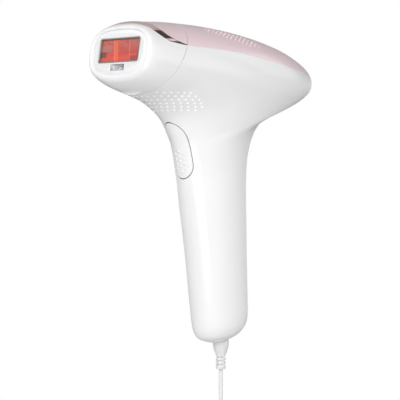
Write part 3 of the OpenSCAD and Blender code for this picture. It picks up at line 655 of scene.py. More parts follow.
def shell(name, s, a, slot, edge_distance=None, thickness=WALL, closed_rows=None, radius=EDGE_R,
          raise_by=None, foot=False, rim=None):
    """A closed shell over the skin at grid places s, a. closed_rows marks rows whose first and last
    columns are the same line, which get no rim between them. rim is the first row of the inside."""
    rows, columns = s.shape
    outer = skin(s, a)
    normals = skin_normals(s, a)
    inner = outer - normals * thickness
    if edge_distance is not None:
        outer = outer - normals * rounding(edge_distance, radius)[..., None]
    if raise_by is not None:
        outer = outer + normals * raise_by[..., None]
    if rim is not None:
        inner[0] = rim
    closed = np.zeros(rows, bool) if closed_rows is None else closed_rows
    if foot:
        outer = np.concatenate([outer, foot_rows(outer[-1], 0.9)])
        inner = np.concatenate([inner, foot_rows(inner[-1], 0.5)])
        closed = np.concatenate([closed, np.ones(len(outer) - rows, bool)])
        rows = len(outer)
    points = np.concatenate([outer.reshape(-1, 3), inner.reshape(-1, 3)])
    half = rows * columns
    faces = grid_faces(rows, columns) + grid_faces(rows, columns, True, half)
    for i in range(rows - 1):
        if closed[i] and closed[i + 1]:
            continue
        for j in (0, columns - 1):
            o = i * columns + j
            faces.append((o, o + columns, o + columns + half, o + half))
    for i in (0,) if foot else (0, rows - 1):
        for j in range(columns - 1):
            o = i * columns + j
            faces.append((o, o + 1, o + 1 + half, o + half))
    return to_object(name, points, faces, slot)


def eased(count, fine, length):
    """Places from 0 to 1 with fine steps (mm of length) at both ends."""
    ends = fine / length
    middle = np.linspace(ends[-1], 1 - ends[-1], count)[1:-1]
    return np.concatenate([ends, middle, 1 - ends[::-1]])


def run_along(points):
    """Distance along a line of points, at each of them."""
    return np.concatenate([[0], np.cumsum(np.linalg.norm(np.diff(points, axis=0), axis=1))])


def ring_angles(s, low, high, columns, sides=1441):
    """Angles on rib s from low to high, evenly spaced by arc length with fine steps at the ends."""
    a = np.linspace(low, high, sides)
    run = run_along(skin(np.full(sides, s), a))
    length = max(run[-1], 1e-6)
    fine = FINE_STEPS * min(1, length / 8)
    middle = np.linspace(fine[-1], length - fine[-1], columns - 8)[1:-1]
    return np.interp(np.concatenate([fine, middle, length - fine[::-1]]), run, a)


def dense_skin():
    """A fine copy of the skin: a tree for ray casts, its points, faces and exact normals."""
    s = np.linspace(0, LAST_RIB, LAST_RIB * 12 + 1)
    a = np.linspace(0, 2 * math.pi, 241)[:-1]
    p = skin(s[:, None], a[None])
    normals = skin_normals(s[:, None], a[None]).reshape(-1, 3)
    m, n = p.shape[:2]
    faces = [(i * n + j, (i + 1) * n + j, (i + 1) * n + (j + 1) % n, i * n + (j + 1) % n)
             for i in range(m - 1) for j in range(n)]
    points = p.reshape(-1, 3)
    return BVHTree.FromPolygons(points.tolist(), faces), points, np.array(faces), normals


def exact_normal(place, face):
    """The skin's normal at a place on one of its faces, weighted by nearness to the corners."""
    corners = SKIN_FACES[face]
    far = np.linalg.norm(SKIN_POINTS[corners] - np.array(place), axis=1)
    weight = 1 / (far + 1e-4)
    n = (SKIN_NORMALS[corners] * weight[:, None]).sum(0)
    return n / np.linalg.norm(n)


def cast(origin, direction):
    """Where a ray meets the skin, and the outward normal there."""
    place, normal, _, _ = SKIN_TREE.ray_cast(Vector(origin), Vector(direction))
    if place is None:
        raise RuntimeError(f"no skin at {origin}")
    if normal.dot(Vector(direction)) > 0:
        normal = -normal
    return np.array(place), np.array(normal)


CORNERS = ((1, 1), (-1, 1), (-1, -1), (1, -1))      # signs, anticlockwise


def oval_outline(w, h, arc=11, side=12):
    """A stadium as (core x, core z, direction x, direction z) entries, and its end radius."""
    r = min(w, h) / 2
    cores = [(sx * (w / 2 - r), sz * (h / 2 - r)) for sx, sz in CORNERS]
    outline = []
    for k, (x0, z0) in enumerate(cores):
        x1, z1 = cores[(k + 1) % 4]
        for i in range(arc):
            t = math.pi / 2 * (k + i / arc)
            outline.append((x0, z0, math.cos(t), math.sin(t)))
        t = math.pi / 2 * (k + 1)
        for i in range(side if (x0, z0) != (x1, z1) else 0):
            outline.append((x0 + (x1 - x0) * i / side, z0 + (z1 - z0) * i / side, math.cos(t), math.sin(t)))
    return outline, r


def polar_pad(name, w, h, centre, project, rings, depth, slot, radius, hole=0.0, crown=0.0, sink=0.0):
    """A pad with an oval outline laid on the skin: project(u, v) gives the skin point and the way out.
    hole is the inner inset of a ring-shaped pad; crown lifts the middle; sink lowers it all."""
    outline, r = oval_outline(w, h)
    n = len(outline)
    steps = np.concatenate([np.linspace(hole, 0.88, rings), [0.93, 0.965, 0.985, 0.996, 1.0]])
    top, bottom = [], []
    for k in steps:
        edge = min(1 - k, k - hole) * r if hole > 0 else (1 - k) * r
        lift = crown * (1 - k * k) - float(rounding(edge, radius)) - sink
        for cx, cz, c, s in outline:
            p, out = project(centre[0] + cx + k * r * c, centre[1] + cz + k * r * s)
            top.append(p + out * lift)
            bottom.append(p - out * depth)
    half = len(top)
    faces = tube_faces(len(steps), n)
    faces += [tuple(x + half for x in quad[::-1]) for quad in faces]
    for ring in (half - n, 0) if hole > 0 else (half - n,):
        for j in range(n):
            a, b = ring + j, ring + (j + 1) % n
            faces.append((a, b, b + half, a + half))
    return to_object(name, top + bottom, faces, slot)


def flared_cutter(w, h, centre, project, depth, flare=0.35):
    """An oval cutter whose mouth opens out, so the hole that it leaves has a rounded lip."""
    outline, r = oval_outline(w, h)
    rings = []
    for grow, lift in ((flare, 6.0), (flare, 0.03), (flare * 0.55, -0.03), (flare * 0.22, -0.12),
                       (0.04, -0.25), (0.0, -0.45), (0.0, -depth)):
        rings.append([])
        for cx, cz, c, s in outline:
            _, out = project(centre[0] + cx + r * c, centre[1] + cz + r * s)
            q, _ = project(centre[0] + cx + (r + grow) * c, centre[1] + cz + (r + grow) * s)
            rings[-1].append(q + out * lift)
    return stack("cutter", rings, smooth=False)


def front_of(x, z):
    """The handle's front at x, z, and the way out of a part cut along Y there."""
    return cast((x, -47.0, z), (0, 1, 0))[0], np.array([0.0, -1.0, 0.0])


def rear_of(x, z):
    return cast((x, 100.0, z), (0, -1, 0))[0], np.array([0.0, 1.0, 0.0])


def under_of(x, y):
    return cast((x, y, 50.0), (0, 0, 1))[0], np.array([0.0, 0.0, -1.0])


def rays_round(axis, hint, sides):
    """Unit vectors evenly round an axis."""
    side = np.cross(axis, hint)
    side /= np.linalg.norm(side)
    up = np.cross(axis, side)
    turns = [2 * math.pi * j / sides for j in range(sides)]
    return [side * math.cos(t) + up * math.sin(t) for t in turns]


def domes(places, radius, height, rings=4, sides=14, sunk=0.3):
    """Closed domes at (point, normal) places, as one object."""
    points, faces = [], []
    for p, n in places:
        n = n / np.linalg.norm(n)
        rays = rays_round(n, [0.3, 0.2, 0.9], sides)
        start = len(points)
        for k in range(rings):
            angle = math.pi / 2 * k / rings
            points += [p + ray * radius * math.cos(angle) + n * height * math.sin(angle) for ray in rays]
        tip, foot = len(points), len(points) + 1
        points.append(p + n * height)
        points += [p + ray * radius * 0.9 - n * sunk for ray in rays]
        faces += tube_faces(rings, sides, start)
        for j in range(sides):
            k = (j + 1) % sides
            faces.append((tip - sides + j, tip - sides + k, tip))
            faces.append((start + k, start + j, foot + j, foot + k))
        faces.append(tuple(range(foot + sides - 1, foot - 1, -1)))
    return to_object("domes", points, faces, smooth=False)


def face_point(x, v, depth=0.0):
    """A point in the window's plane: x across, v up the face, depth outward."""
    c, s = math.cos(FACE_TILT), math.sin(FACE_TILT)
    return np.array([x, FACE_Y + v * s - depth * c, FACE_Z + v * c + depth * s])


def rounded_outline(w, h, r, sides=10):
    """A rounded rectangle as points round its edge."""
    points = []
    for k, (sx, sy) in enumerate(CORNERS):
        for i in range(sides + 1):
            t = math.pi / 2 * (k + i / sides)
            points.append((sx * (w / 2 - r) + r * math.cos(t), sy * (h / 2 - r) + r * math.sin(t)))
    return points


def stack(name, rings, slot=None, smooth=True):
    """A closed solid through rings of points, with flat ends."""
    n, m = len(rings[0]), len(rings)
    faces = [tuple(range(n)), tuple(range((m - 1) * n, m * n))[::-1]] + tube_faces(m, n)
    return to_object(name, np.concatenate(rings), faces, slot, smooth)


def face_stack(name, levels, v=0.0, smooth=True):
    """A closed stack of rounded rectangles in the window's frame: levels are (w, h, r, depth)."""
    return stack(name, [[face_point(x, y + v, depth) for x, y in rounded_outline(w, h, r)]
                        for w, h, r, depth in levels], None, smooth)


def place(piece, body, *nodes, slot=None, sharp=None):
    """Gives a finished piece its material slot, the angle of its sharp edges, its body and the CAD
    nodes that it stands for."""
    if slot:
        finish_piece(piece, slot)
    if sharp:
        sharpen(piece, sharp)
    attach(piece, body)
    if nodes:
        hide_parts(*nodes)
    return piece


def lathe(name, profile, base, axis, slot=None, sides=48):
    """A closed turned solid: profile is (radius, distance along the axis) pairs from the start."""
    axis = np.array(axis, float)
    rays = rays_round(axis, [0.3, 1, 0.2], sides)
    made = stack(name, [[np.array(base) + axis * t + ray * r for ray in rays] for r, t in profile], slot)
    sharpen(made, 40)
    return made


MATERIALS = make_materials()
SKIN_TREE, SKIN_POINTS, SKIN_FACES, SKIN_NORMALS = dense_skin()


# ---------------------------------------------------------------- the housing


def edge_distance(points, columns_open, first=True, last=True):
    """Distance of each grid point from the edges of its piece."""
    d = np.full(points.shape[:2], 99.0)
    if first:
        d = np.minimum(d, np.linalg.norm(points - points[:1], axis=-1))
    if last:
        d = np.minimum(d, np.linalg.norm(points - points[-1:], axis=-1))
    for j in (0, -1):
        side = np.linalg.norm(points - points[:, [j]], axis=-1)
        d = np.where(columns_open[:, None], np.minimum(d, side), d)
    return d


def rows_between(low, high, per_rib, fine_low=False):
    count = max(3, int(round((high - low) * per_rib)) + 1)
    rows = np.linspace(low, high, count)
    if fine_low:
        rows = np.concatenate([low + EDGE_STEPS / ROW_LENGTH, rows[1:]])
    return rows


def seam_place(a, distance):
    """The place s on the skin at angle a that lies a distance in mm behind the seam."""
    ds = 0.05
    step = skin(np.full(np.shape(a), SEAM_RIB + ds), a) - skin(np.full(np.shape(a), SEAM_RIB - ds), a)
    return SEAM_RIB + distance * 2 * ds / np.linalg.norm(step, axis=-1)


def fit_to_seam(s, a):
    """Moves the first rows of a grid to their true distances behind the seam."""
    for i, step in enumerate(EDGE_STEPS):
        s[i] = seam_place(a[i], SEAM_GAP / 2 + step)


def split_rows(s_end):
    """Rows of the stretch that the top cover shares with the body, closer towards the rear tip."""
    start = SEAM_RIB + SEAM_GAP / 2 / ROW_LENGTH
    rows = rows_between(start, s_end - 1.2, 10, fine_low=True)
    ease = 1 - np.linspace(1, 0, 26)[1:] ** 2
    return np.concatenate([rows, s_end - 1.2 + 1.2 * ease])


def ring_grid(rows, lows, highs, columns):
    angles = np.array([ring_angles(s, lo, hi, columns) for s, lo, hi in zip(rows, lows, highs)])
    return np.repeat(rows[:, None], angles.shape[1], 1), angles


def build_top_cover(s_end):
    rows = split_rows(s_end)
    lean = np.array([split_angle(s) for s in rows])
    lean[-1] = 0
    s, a = ring_grid(rows, -lean, lean, 84)
    fit_to_seam(s, a)
    d = edge_distance(skin(s, a), np.ones(len(rows), bool), last=False)
    return shell("top_cover_shell", s, a, "pearl_pink", d)


def build_main_shell(s_end):
    upper = split_rows(s_end)
    lower = np.concatenate([rows_between(s_end, 18, 9)[1:], rows_between(18, LAST_RIB, 7)[1:]])
    lean = np.concatenate([[split_angle(s) for s in upper], np.zeros(len(lower))])
    lean[len(upper) - 1] = 0
    s, a = ring_grid(np.concatenate([upper, lower]), lean, 2 * math.pi - lean, 168)
    fit_to_seam(s, a)
    open_rows = lean > 1e-3
    d = edge_distance(skin(s, a), open_rows, last=False)
    return shell("main_shell_body", s, a, "white_shell", d, closed_rows=~open_rows, foot=True)


def nose_columns(half_count=64, rest_count=96):
    """Angles round the nose, closer where the trim runs, with the places of its two edges."""
    limit = split_angle(float(SEAM_RIB))
    fine = np.linspace(0, limit, 420)
    front = np.array([trim_place(trim_front, a) for a in fine])
    back = np.array([trim_place(trim_back, a) for a in fine])
    front, back = np.minimum(front, back), np.maximum(front, back)
    front[-1] = back[-1] = SEAM_RIB
    run = run_along(skin((front + back) / 2, fine))
    wanted = np.linspace(0, run[-1], half_count)
    a = np.interp(wanted, run, fine)
    f, b = np.interp(wanted, run, front), np.interp(wanted, run, back)
    rest = ring_angles(2.5, limit, 2 * math.pi - limit, rest_count)
    return a, f, b, rest


def nose_outline(angles, inset, depth=0.0):
    """The nose's front outline, moved inward and laid in the plane of the window face."""
    p = skin(np.zeros(len(angles)), angles)
    up = np.array([math.sin(FACE_TILT), math.cos(FACE_TILT)])
    u, v = p[:, 0], (p[:, 1:] - [FACE_Y, FACE_Z]) @ up
    ds = 0.002
    near = skin(np.zeros(len(angles)), angles + ds) - skin(np.zeros(len(angles)), angles - ds)
    du, dv = near[:, 0], near[:, 1:] @ up
    size = np.hypot(du, dv)
    side_u, side_v = -dv / size, du / size
    facing = np.sign(side_u * u + side_v * (v - v.mean()))
    u, v = u - side_u * facing * inset, v - side_v * facing * inset
    return np.array([face_point(x, y, depth) for x, y in zip(u, v)])


def build_nose():
    a, front, back, rest = nose_columns()
    end = seam_place(a, -SEAM_GAP / 2)
    front, back = np.minimum(front, end), np.minimum(back, end)
    both = np.concatenate([-a[::-1], a[1:]])
    end = seam_place(both, -SEAM_GAP / 2)
    both_front = np.concatenate([front[::-1], front[1:]])
    both_back = np.concatenate([back[::-1], back[1:]])

    angles = np.concatenate([both, rest[1:]])
    tops = np.concatenate([both_front, seam_place(rest[1:], -SEAM_GAP / 2)])
    w = eased(44, NOSE_STEPS, 36)
    s, ang = w[:, None] * tops[None], np.repeat(angles[None], len(w), 0)
    p = skin(s, ang)
    d = edge_distance(p, np.zeros(len(w), bool), first=False)
    front_sink = rounding(np.linalg.norm(p - p[:1], axis=-1), NOSE_EDGE_R)
    nose = shell("nose_shell_body", s, ang, "white_shell", d, closed_rows=np.ones(len(w), bool),
                 raise_by=-front_sink, rim=nose_outline(angles, WALL))

    w = eased(26, EDGE_STEPS, 26)
    wide = (end - both_back) * ROW_LENGTH > 0.15        # a blunt tip, where the panel runs out
    s = both_back[wide][None] + (end - both_back)[wide][None] * w[:, None]
    ang = np.repeat(both[wide][None], len(w), 0)
    d = edge_distance(skin(s, ang), np.zeros(len(w), bool))
    panel = shell("nose_top_cover", s, ang, "pearl_pink", d)

    w = eased(13, EDGE_STEPS, 9)
    s = both_front[None] + (both_back - both_front)[None] * w[:, None]
    ang = np.repeat(both[None], len(w), 0)
    p = skin(s, ang)
    width = np.linalg.norm(p[-1] - p[0], axis=-1)[None]
    ridge = np.clip(1 - np.abs(w[:, None] - 0.56) / 0.56, 0, 1) * np.clip(width / 8, 0, 1)
    trim = shell("nose_trim_band", s, ang, "rose_gold_trim", edge_distance(p, np.zeros(len(w), bool)),
                 raise_by=TRIM_RIDGE * ridge)
    return nose, panel, trim


def foot_rows(ring, drop, shares=(0.9, 0.7, 0.45, 0.2, 0.0)):
    """Rows that close the foot from its last ring to the middle."""
    centre = ring.mean(0)
    down = np.array([0, 0.155, -0.988])
    return [centre + (ring - centre) * k + down * drop * (1 - k * k) for k in shares]


def mirrored(p, n):
    return p * [-1, 1, 1], n * [-1, 1, 1]


def vent_places():
    """Vent dots under the head: six staggered rows that follow the skin at equal heights."""
    places = []
    for row, y_end in enumerate(VENT_ENDS):
        z = VENT_TOP - VENT_ROW * row
        turns = [math.radians(160 * i / 400) for i in range(401)]
        line = [cast((95 * math.sin(t), -22 - 95 * math.cos(t), z), (-math.sin(t), math.cos(t), 0))
                for t in turns]
        run = run_along(np.array([p for p, _ in line]))
        for j in range(40):
            at = (j + 0.5 * (row % 2)) * VENT_PITCH
            if at > run[-1]:
                break
            p, n = line[min(int(np.searchsorted(run, at)), len(line) - 1)]
            behind = (p[1] - SEAM_Y) * math.cos(SEAM_TILT) - (p[2] - SEAM_Z) * math.sin(SEAM_TILT)
            if p[1] > y_end + 0.6 or behind < 1.6:
                continue
            places.append((p, n))
            if p[0] > 0.5:
                places.append(mirrored(p, n))
    return places


def cover_places():
    """Outlet dots: a leaf-shaped patch on each side of the top cover."""
    places = []
    for j in range(-8, 9):
        for i in range(-12, 13):
            y = -1 + 2.9 * i + (1.45 if j % 2 else 0)
            centre = 15.5 + 5 * (y + 22) / 42.5
            x = centre + 1.35 * j
            reach = 1 - ((y + 0.8) / 21.8) ** 2
            if reach <= 0 or abs(x - centre + 0.3) > 4.9 * reach ** 0.7 + 0.2:
                continue
            p, n = cast((x, y, 150.0), (0, 0, -1))
            places += [(p, n), mirrored(p, n)]
    return places


def smooth_from_skin(piece, tolerance=0.03):
    """Gives the outer skin of a cut piece the exact normals of the uncut skin."""
    sharpen(piece, 34)
    mesh = piece.data

    def read(items, field, size, kind=float):
        values = np.zeros(len(items) * size, kind)
        items.foreach_get(field, values)
        return values.reshape(-1, size) if size > 1 else values

    loops = read(mesh.loops, "vertex_index", 1, int)
    co = read(mesh.vertices, "co", 3) / MM
    split = read(mesh.corner_normals, "vector", 3, np.float32)
    exact = np.zeros((len(co), 3))
    on_skin = np.zeros(len(co), bool)
    for i, p in enumerate(co):
        near, _, face, far = SKIN_TREE.find_nearest(Vector(p), 0.5)
        if near is not None and far < tolerance:
            exact[i] = exact_normal(near, face)
            on_skin[i] = True
    totals = read(mesh.polygons, "loop_total", 1, int)
    face_of = np.repeat(np.arange(len(totals)), totals)
    agree = (exact[loops] * read(mesh.polygons, "normal", 3)[face_of]).sum(1) > 0.9
    use = on_skin[loops] & agree
    split[use] = exact[loops][use]
    mesh.normals_split_custom_set(split.tolist())


def build_grip_lip():
    """The half-moon lip under the nose, which a thumb pushes to take the nose off."""
    half, drop = 9.0, 1.3
    rings = []
    for x in half * np.sin(np.linspace(-math.pi / 2, math.pi / 2, 25)):
        under = cast((x, -65.6, 40.0), (0, 0, 1))[0][2]
        low = under - drop * (1 - (x / half) ** 2) - 0.02
        rings.append([(x, y, z) for y, z in ((-66.6, under + 0.9), (-66.4, low + 0.25), (-66.1, low),
                                             (-64.9, low), (-64.6, under + 0.9))])
    return stack("grip_lip", rings)


def build_housing():
    s_end = body_end()
    body = build_main_shell(s_end)
    boolean(body, flared_cutter(FLASH_W, FLASH_H, (0, FLASH_Z), front_of, 7))
    boolean(body, flared_cutter(POWER_W, POWER_H, (0, POWER_Z), rear_of, 9, flare=0.2))
    boolean(body, lathe("cutter", [(5.2, 0), (5.2, 20)], (0, PLUG_Y, -75), (0, 0, 1), sides=64))
    boolean(body, domes([(p + n * 2, -n) for p, n in light_places()], 1.0, 6.0, sunk=0.2))
    boolean(body, flared_cutter(STRIP_W, STRIP_H, (0, 0), rear_of, 6, flare=0.15))
    cover = build_top_cover(s_end)
    boolean(cover, flared_cutter(POWER_W, POWER_H, (0, POWER_Z), rear_of, 9, flare=0.2))
    boolean(cover, domes([(p, -n) for p, n in cover_places()], 0.6, 0.5, sunk=0.35))
    nose, panel, trim = build_nose()
    boolean(nose, build_grip_lip(), "UNION")
    for piece, carrier, node in ((body, "root", "main_shell"), (cover, "root", "top_cover"),
                                 (nose, "nose", "nose_shell"), (panel, "nose", "nose_top_panel")):
        smooth_from_skin(piece)
        place(piece, carrier, node)
    place(trim, "nose", "nose_trim", sharp=30)


def build_vent_dots():
    """Small lens-like dots under the head, painted a brighter white than the shell and given a faint glow: a
    painted highlight on the shaded underside.
    """
    dots = domes(vent_places(), 0.8, 0.2, rings=5, sides=18, sunk=0.5)
    dots.name = "vent_dots"
    # A whiter colour than the shell: painted highlight.
    dots.data.materials.append(surface("vent_dot_painted_glow", (0.96, 0.96, 0.96), 0.2, coat=0.5, bump=0.02,
                                       grain=1400, vary=0.01))
    # A faint glow, though the dots are no lamp: painted light.
    fill(shader_of(dots.data.materials[0]), {"Emission Color": (1, 1, 1, 1), "Emission Strength": 0.12})
    place(dots, "root", sharp=50)


def build_back_cover():
    strip = polar_pad("back_cover_strip", STRIP_W - 0.3, STRIP_H - 0.3, (0, 0), rear_of, 12, 1.9,
                      "white_shell", radius=0.2)
    place(strip, "root", "back_cover", sharp=40)


def build_gap_shade_rings():
    """Dark rings sunk in the seam of the nose and round the flash button: painted shade that darkens the
    gaps.
    """
    # A dark ring sunk in the nose's seam: painted shade.
    a = np.repeat(np.linspace(0, 2 * math.pi, 241)[None], 3, 0)
    s = np.array([seam_place(a[0], d) for d in (-SEAM_GAP / 2 + 0.02, 0, SEAM_GAP / 2 - 0.02)])
    seam_shade = shell("seam_shade_ring", s, a, "dark_plastic", thickness=1.5, closed_rows=np.ones(3, bool),
                   raise_by=np.full(s.shape, -0.4))
    place(seam_shade, "root", sharp=40)
    # A dark ring sunk round the flash button: painted shade in its gap.
    w, h = FLASH_W - 0.04, FLASH_H - 0.04
    ring = polar_pad("flash_button_shade_ring", w, h, (0, FLASH_Z), front_of, 3, 1.0, "dark_plastic",
                     radius=0.05, hole=1 - (CAP_INSET - 0.07) / (w / 2), sink=0.5)
    place(ring, "root", sharp=40)


def light_places():
    return [under_of(0, 70 - 3 * i) for i in range(5)]


def build_lights():
    """Five small frosted dots under the rear tip."""
    pads = domes([(p - n * 0.1, n) for p, n in light_places()], 0.93, 0.2, rings=6, sides=28, sunk=1.6)
    pads.name = "intensity_light_dots"
    pads.data.shade_smooth()
    place(pads, "root", "intensity_lights", slot="light_guide")


# ---------------------------------------------------------------- buttons
# ---------------------------------------------------------------- buttons

def build_flash_button():
    w, h = FLASH_W - 2 * CAP_INSET, FLASH_H - 2 * CAP_INSET
    pad = polar_pad("flash_button_cap", w, h, (0, FLASH_Z), front_of, 12, 2.0, "white_shell",
                    radius=0.35)
    places = []
    for column, count in ((-1, 4), (0, 5), (1, 4)):
        for i in range(count):
            x = 0.4 + 3.5 * column
            z = 43.6 + 3.1 * (i - (count - 1) / 2)
            places.append(cast((x, -47.0, z), (0, 1, 0)))
    boolean(pad, domes(places, 0.85, 0.42, rings=5, sides=18), "UNION")
    place(pad, "flash", "flash_button", sharp=38)


def build_power_button():
    ring_in = 1.0
    inner = BUTTON_GAP + ring_in
    ring = polar_pad("power_light_ring", POWER_W - 0.1, POWER_H - 0.1, (0, POWER_Z), rear_of, 6, 1.6,
                     "light_guide", radius=0.2, hole=1 - ring_in / (POWER_H / 2))
    place(ring, "root", "ready_light_ring", sharp=32)
    cap = polar_pad("power_button_cap", POWER_W - 2 * inner, POWER_H - 2 * inner, (0, POWER_Z), rear_of,
                    8, 1.6, "button_grey", radius=0.35, crown=0.05, sink=-0.25)
    place(cap, "power", "power_button", sharp=32)


# ---------------------------------------------------------------- window face

def build_face():
    angles = np.linspace(0, 2 * math.pi, 161)[:-1]
    plate = stack("face_plate_panel", [nose_outline(angles, WALL + 0.01, -FACE_T),
                                       nose_outline(angles, WALL + 0.01)])
    w, h, r = WINDOW_W, WINDOW_H, WINDOW_R
    mouth = [(w, h, r, -5), (w, h, r, -0.35), (w + 0.2, h + 0.2, r, -0.1), (w + 0.6, h + 0.6, r, 0.02),
             (w + 0.6, h + 0.6, r, 2)]
    boolean(plate, face_stack("cutter", mouth, smooth=False))
    w, h = SENSOR_W, SENSOR_H
    mouth = [(w, h, 0.6, -5), (w, h, 0.6, -0.25), (w + 0.5, h + 0.5, 0.7, 0.02), (w + 0.5, h + 0.5, 0.7, 2)]
    boolean(plate, face_stack("cutter", mouth, SENSOR_V, smooth=False))
    place(plate, "nose", "face_plate", slot="face_plastic", sharp=25)

    w, h = WINDOW_W - 0.1, WINDOW_H - 0.1
    bezel = face_stack("window_bezel", [(w, h, r, -6), (w, h, r, -0.2), (w - 0.12, h - 0.12, r - 0.06, -0.04),
                                        (w - 0.4, h - 0.4, r - 0.2, 0)])
    w, h = WINDOW_W - 1.4, WINDOW_H - 1.4
    lip = [(w, h, 1.2, -2.4), (w, h, 1.2, -0.3), (w + 0.5, h + 0.5, 1.4, 0.02), (w + 0.5, h + 0.5, 1.4, 1)]
    for hole in (lip, [(w - 1.4, h - 1.4, 0.8, -8), (w - 1.4, h - 1.4, 0.8, 1)]):
        boolean(bezel, face_stack("cutter", hole, smooth=False))
    place(bezel, "nose", "window_frame", slot="frame_metal", sharp=25)

    w, h = WINDOW_W - 1.5, WINDOW_H - 1.5
    glass = face_stack("window_filter_glass",
                       [(w, h, 1.1, -2.4), (w, h, 1.1, -1.45), (w - 0.3, h - 0.3, 1, -1.3)])
    place(glass, "nose", "window_glass", slot="filter_glass", sharp=25)

    w, h = SENSOR_W - 0.35, SENSOR_H - 0.25
    levels = [(w, h, 0.5, -2.2), (w, h, 0.5, -0.8), (w - 0.3, h - 0.3, 0.4, -0.5),
              (w - 1.6, h - 1.2, 0.3, -0.3)]
    lens = face_stack("skin_sensor_lens", levels, SENSOR_V)
    place(lens, "nose", "sensor_lens", slot="sensor_lens", sharp=15)


# ---------------------------------------------------------------- lead, coil and adapter

CORD_D = 2.6
LEAD_ROUTE = [
    [0, 5.6, -85], [0, 5.6, -92], [0, 5.6, -99], [0, 5.6, -106], [0, 5.5, -113],
    [0.2, 5, -120], [0.8, 3.6, -127], [2, 0.8, -134], [3.8, -4, -140.4], [6.2, -10.5, -145.4],
    [9, -18, -148], [12, -26, -148.7], [15, -34, -148.7], [17.4, -41.5, -148.7],
    [18.7, -50, -148.7]
]
ADAPTER_ROUTE = [
    [-18.7, -50, -145.6], [-18.6, -43, -145.9], [-18, -36, -146], [-16.6, -29, -145.8],
    [-14.8, -22, -144.6], [-13.2, -15, -142.8], [-12, -8, -142]
]
INSIDE_ADAPTER = [[-12, 2, -142], [-12, 14, -142], [-12, 26, -142], [-12, 38, -142]]
COIL_Y = -50.0
COIL_COLUMNS = [18.7, 15.9, 13.1, 10.3]
COIL_LAYERS = [-148.1, -145.42, -142.74, -140.06]
ADAPTER_X, ADAPTER_Y0, ADAPTER_Y1 = -12.0, 12.0, 72.0


def coil_slots():
    """The rings that the lead fills, in order, as (radius, height): in, out, in, out, then down outside."""
    inner = COIL_COLUMNS[1:]
    slots = [(r, COIL_LAYERS[0]) for r in COIL_COLUMNS]
    slots += [(r, COIL_LAYERS[1]) for r in inner[::-1]]
    slots += [(r, COIL_LAYERS[2]) for r in inner]
    slots += [(r, COIL_LAYERS[3]) for r in COIL_COLUMNS[::-1]]
    slots += [(COIL_COLUMNS[0], z) for z in (COIL_LAYERS[2], COIL_LAYERS[1])]
    return slots


def coil_points(per_turn=24, move=0.16):
    """Turns of the coil, clockwise from above. Each move to a next ring of the same kind comes one turn
    after the last, and a move of a new kind comes a little sooner, so that no turn lies in another."""
    slots = coil_slots()
    moves, at, kind = [], 0.78, None
    for (r0, z0), (r1, z1) in zip(slots[:-1], slots[1:]):
        new_kind = (r1 > r0) - (r1 < r0), (z1 > z0) - (z1 < z0)
        if kind is not None:
            at += 1.0 if new_kind == kind else 1.0 - move
        kind = new_kind
        moves.append(at)
    turns = math.ceil(moves[-1] + move) + 0.5
    points = []
    for i in range(1, int(turns * per_turn)):
        t = i / per_turn
        r, z = slots[0]
        for start, (r1, z1), (r0, z0) in zip(moves, slots[1:], slots[:-1]):
            k = min(max((t - start) / move, 0), 1)
            k = k * k * (3 - 2 * k)
            r += (r1 - r0) * k
            z += (z1 - z0) * k
        if t < 0.5:
            z += (LEAD_ROUTE[-1][2] - COIL_LAYERS[0]) * (1 - 2 * t)
        angle = -2 * math.pi * t
        points.append((r * math.cos(angle), COIL_Y + r * math.sin(angle), z))
    return points


def build_cord():
    route = LEAD_ROUTE + coil_points() + ADAPTER_ROUTE + INSIDE_ADAPTER
    data = bpy.data.curves.new("supply_lead", "CURVE")
    data.dimensions = "3D"
    data.bevel_depth = CORD_D / 2 * MM
    data.bevel_resolution = 4
    data.resolution_u = 3
    data.use_fill_caps = True
    line = data.splines.new("BEZIER")
    line.bezier_points.add(len(route) - 1)
    for knot, p in zip(line.bezier_points, route):
        knot.co = Vector(p) * MM
        knot.handle_left_type = knot.handle_right_type = "AUTO"
    cord = bpy.data.objects.new("supply_lead", data)
    bpy.context.scene.collection.objects.link(cord)
    data.materials.append(MATERIALS["cord_white"])
    return place(cord, "root", "supply_cord", "cord_coil", "adapter_cord")


def build_strain_relief():
    profile = [(4.6, 0), (4.85, 0.3), (4.95, 0.8), (4.95, 5.2), (4.85, 6.6), (4.6, 8.0), (4.2, 9.2),
               (3.6, 10.8), (3.15, 11.8), (3.05, 12.4), (3.05, 20.6), (2.9, 20.9), (2.5, 21.0)]
    relief = lathe("strain_relief_sleeve", profile, (0, PLUG_Y, -64), (0, 0, -1), "cord_white")
    for z in (-77.6, -79.9, -82.2):
        for turn in (0, 180):
            boolean(relief, slot_cutter(z, turn))
    return place(relief, "root", "strain_relief", sharp=40)


def slot_cutter(z, turn, inner=2.0, outer=4.2, half=0.55, sweep=74, steps=16):
    """One bent slot of the strain relief."""
    rings = []
    for i in range(steps + 1):
        t = math.radians(turn + 90 + sweep * (2 * i / steps - 1))
        rings.append([(r * math.cos(t), PLUG_Y + r * math.sin(t), z + dz)
                      for r, dz in ((inner, -half), (outer, -half), (outer, half), (inner, half))])
    return stack("cutter", rings, smooth=False)


def build_tie():
    """A soft strap round one side of the coil."""
    low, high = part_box("cord_tie")
    centre, size = (low + high) / 2 / MM, (high - low) / MM
    profile = rounded_outline(size[1] - 0.1, size[2] - 0.1, 2.4, 8)
    levels = [(-1.9, 0.25), (-1.6, 0.0), (1.6, 0.0), (1.9, 0.25)]       # x and inset of the outside
    levels += [(x, 0.5) for x, _ in levels[::-1]]                       # and back along the inside
    points = []
    for x, inset in levels:
        for y, z in profile:
            k = 1 - inset / math.hypot(y, z)
            points.append((centre[0] + x, centre[1] + y * k, centre[2] + z * k))
    faces = tube_faces(len(levels), len(profile), joined=True)
    return place(to_object("coil_strap", points, faces, "tie_black"), "root", "cord_tie", sharp=50)


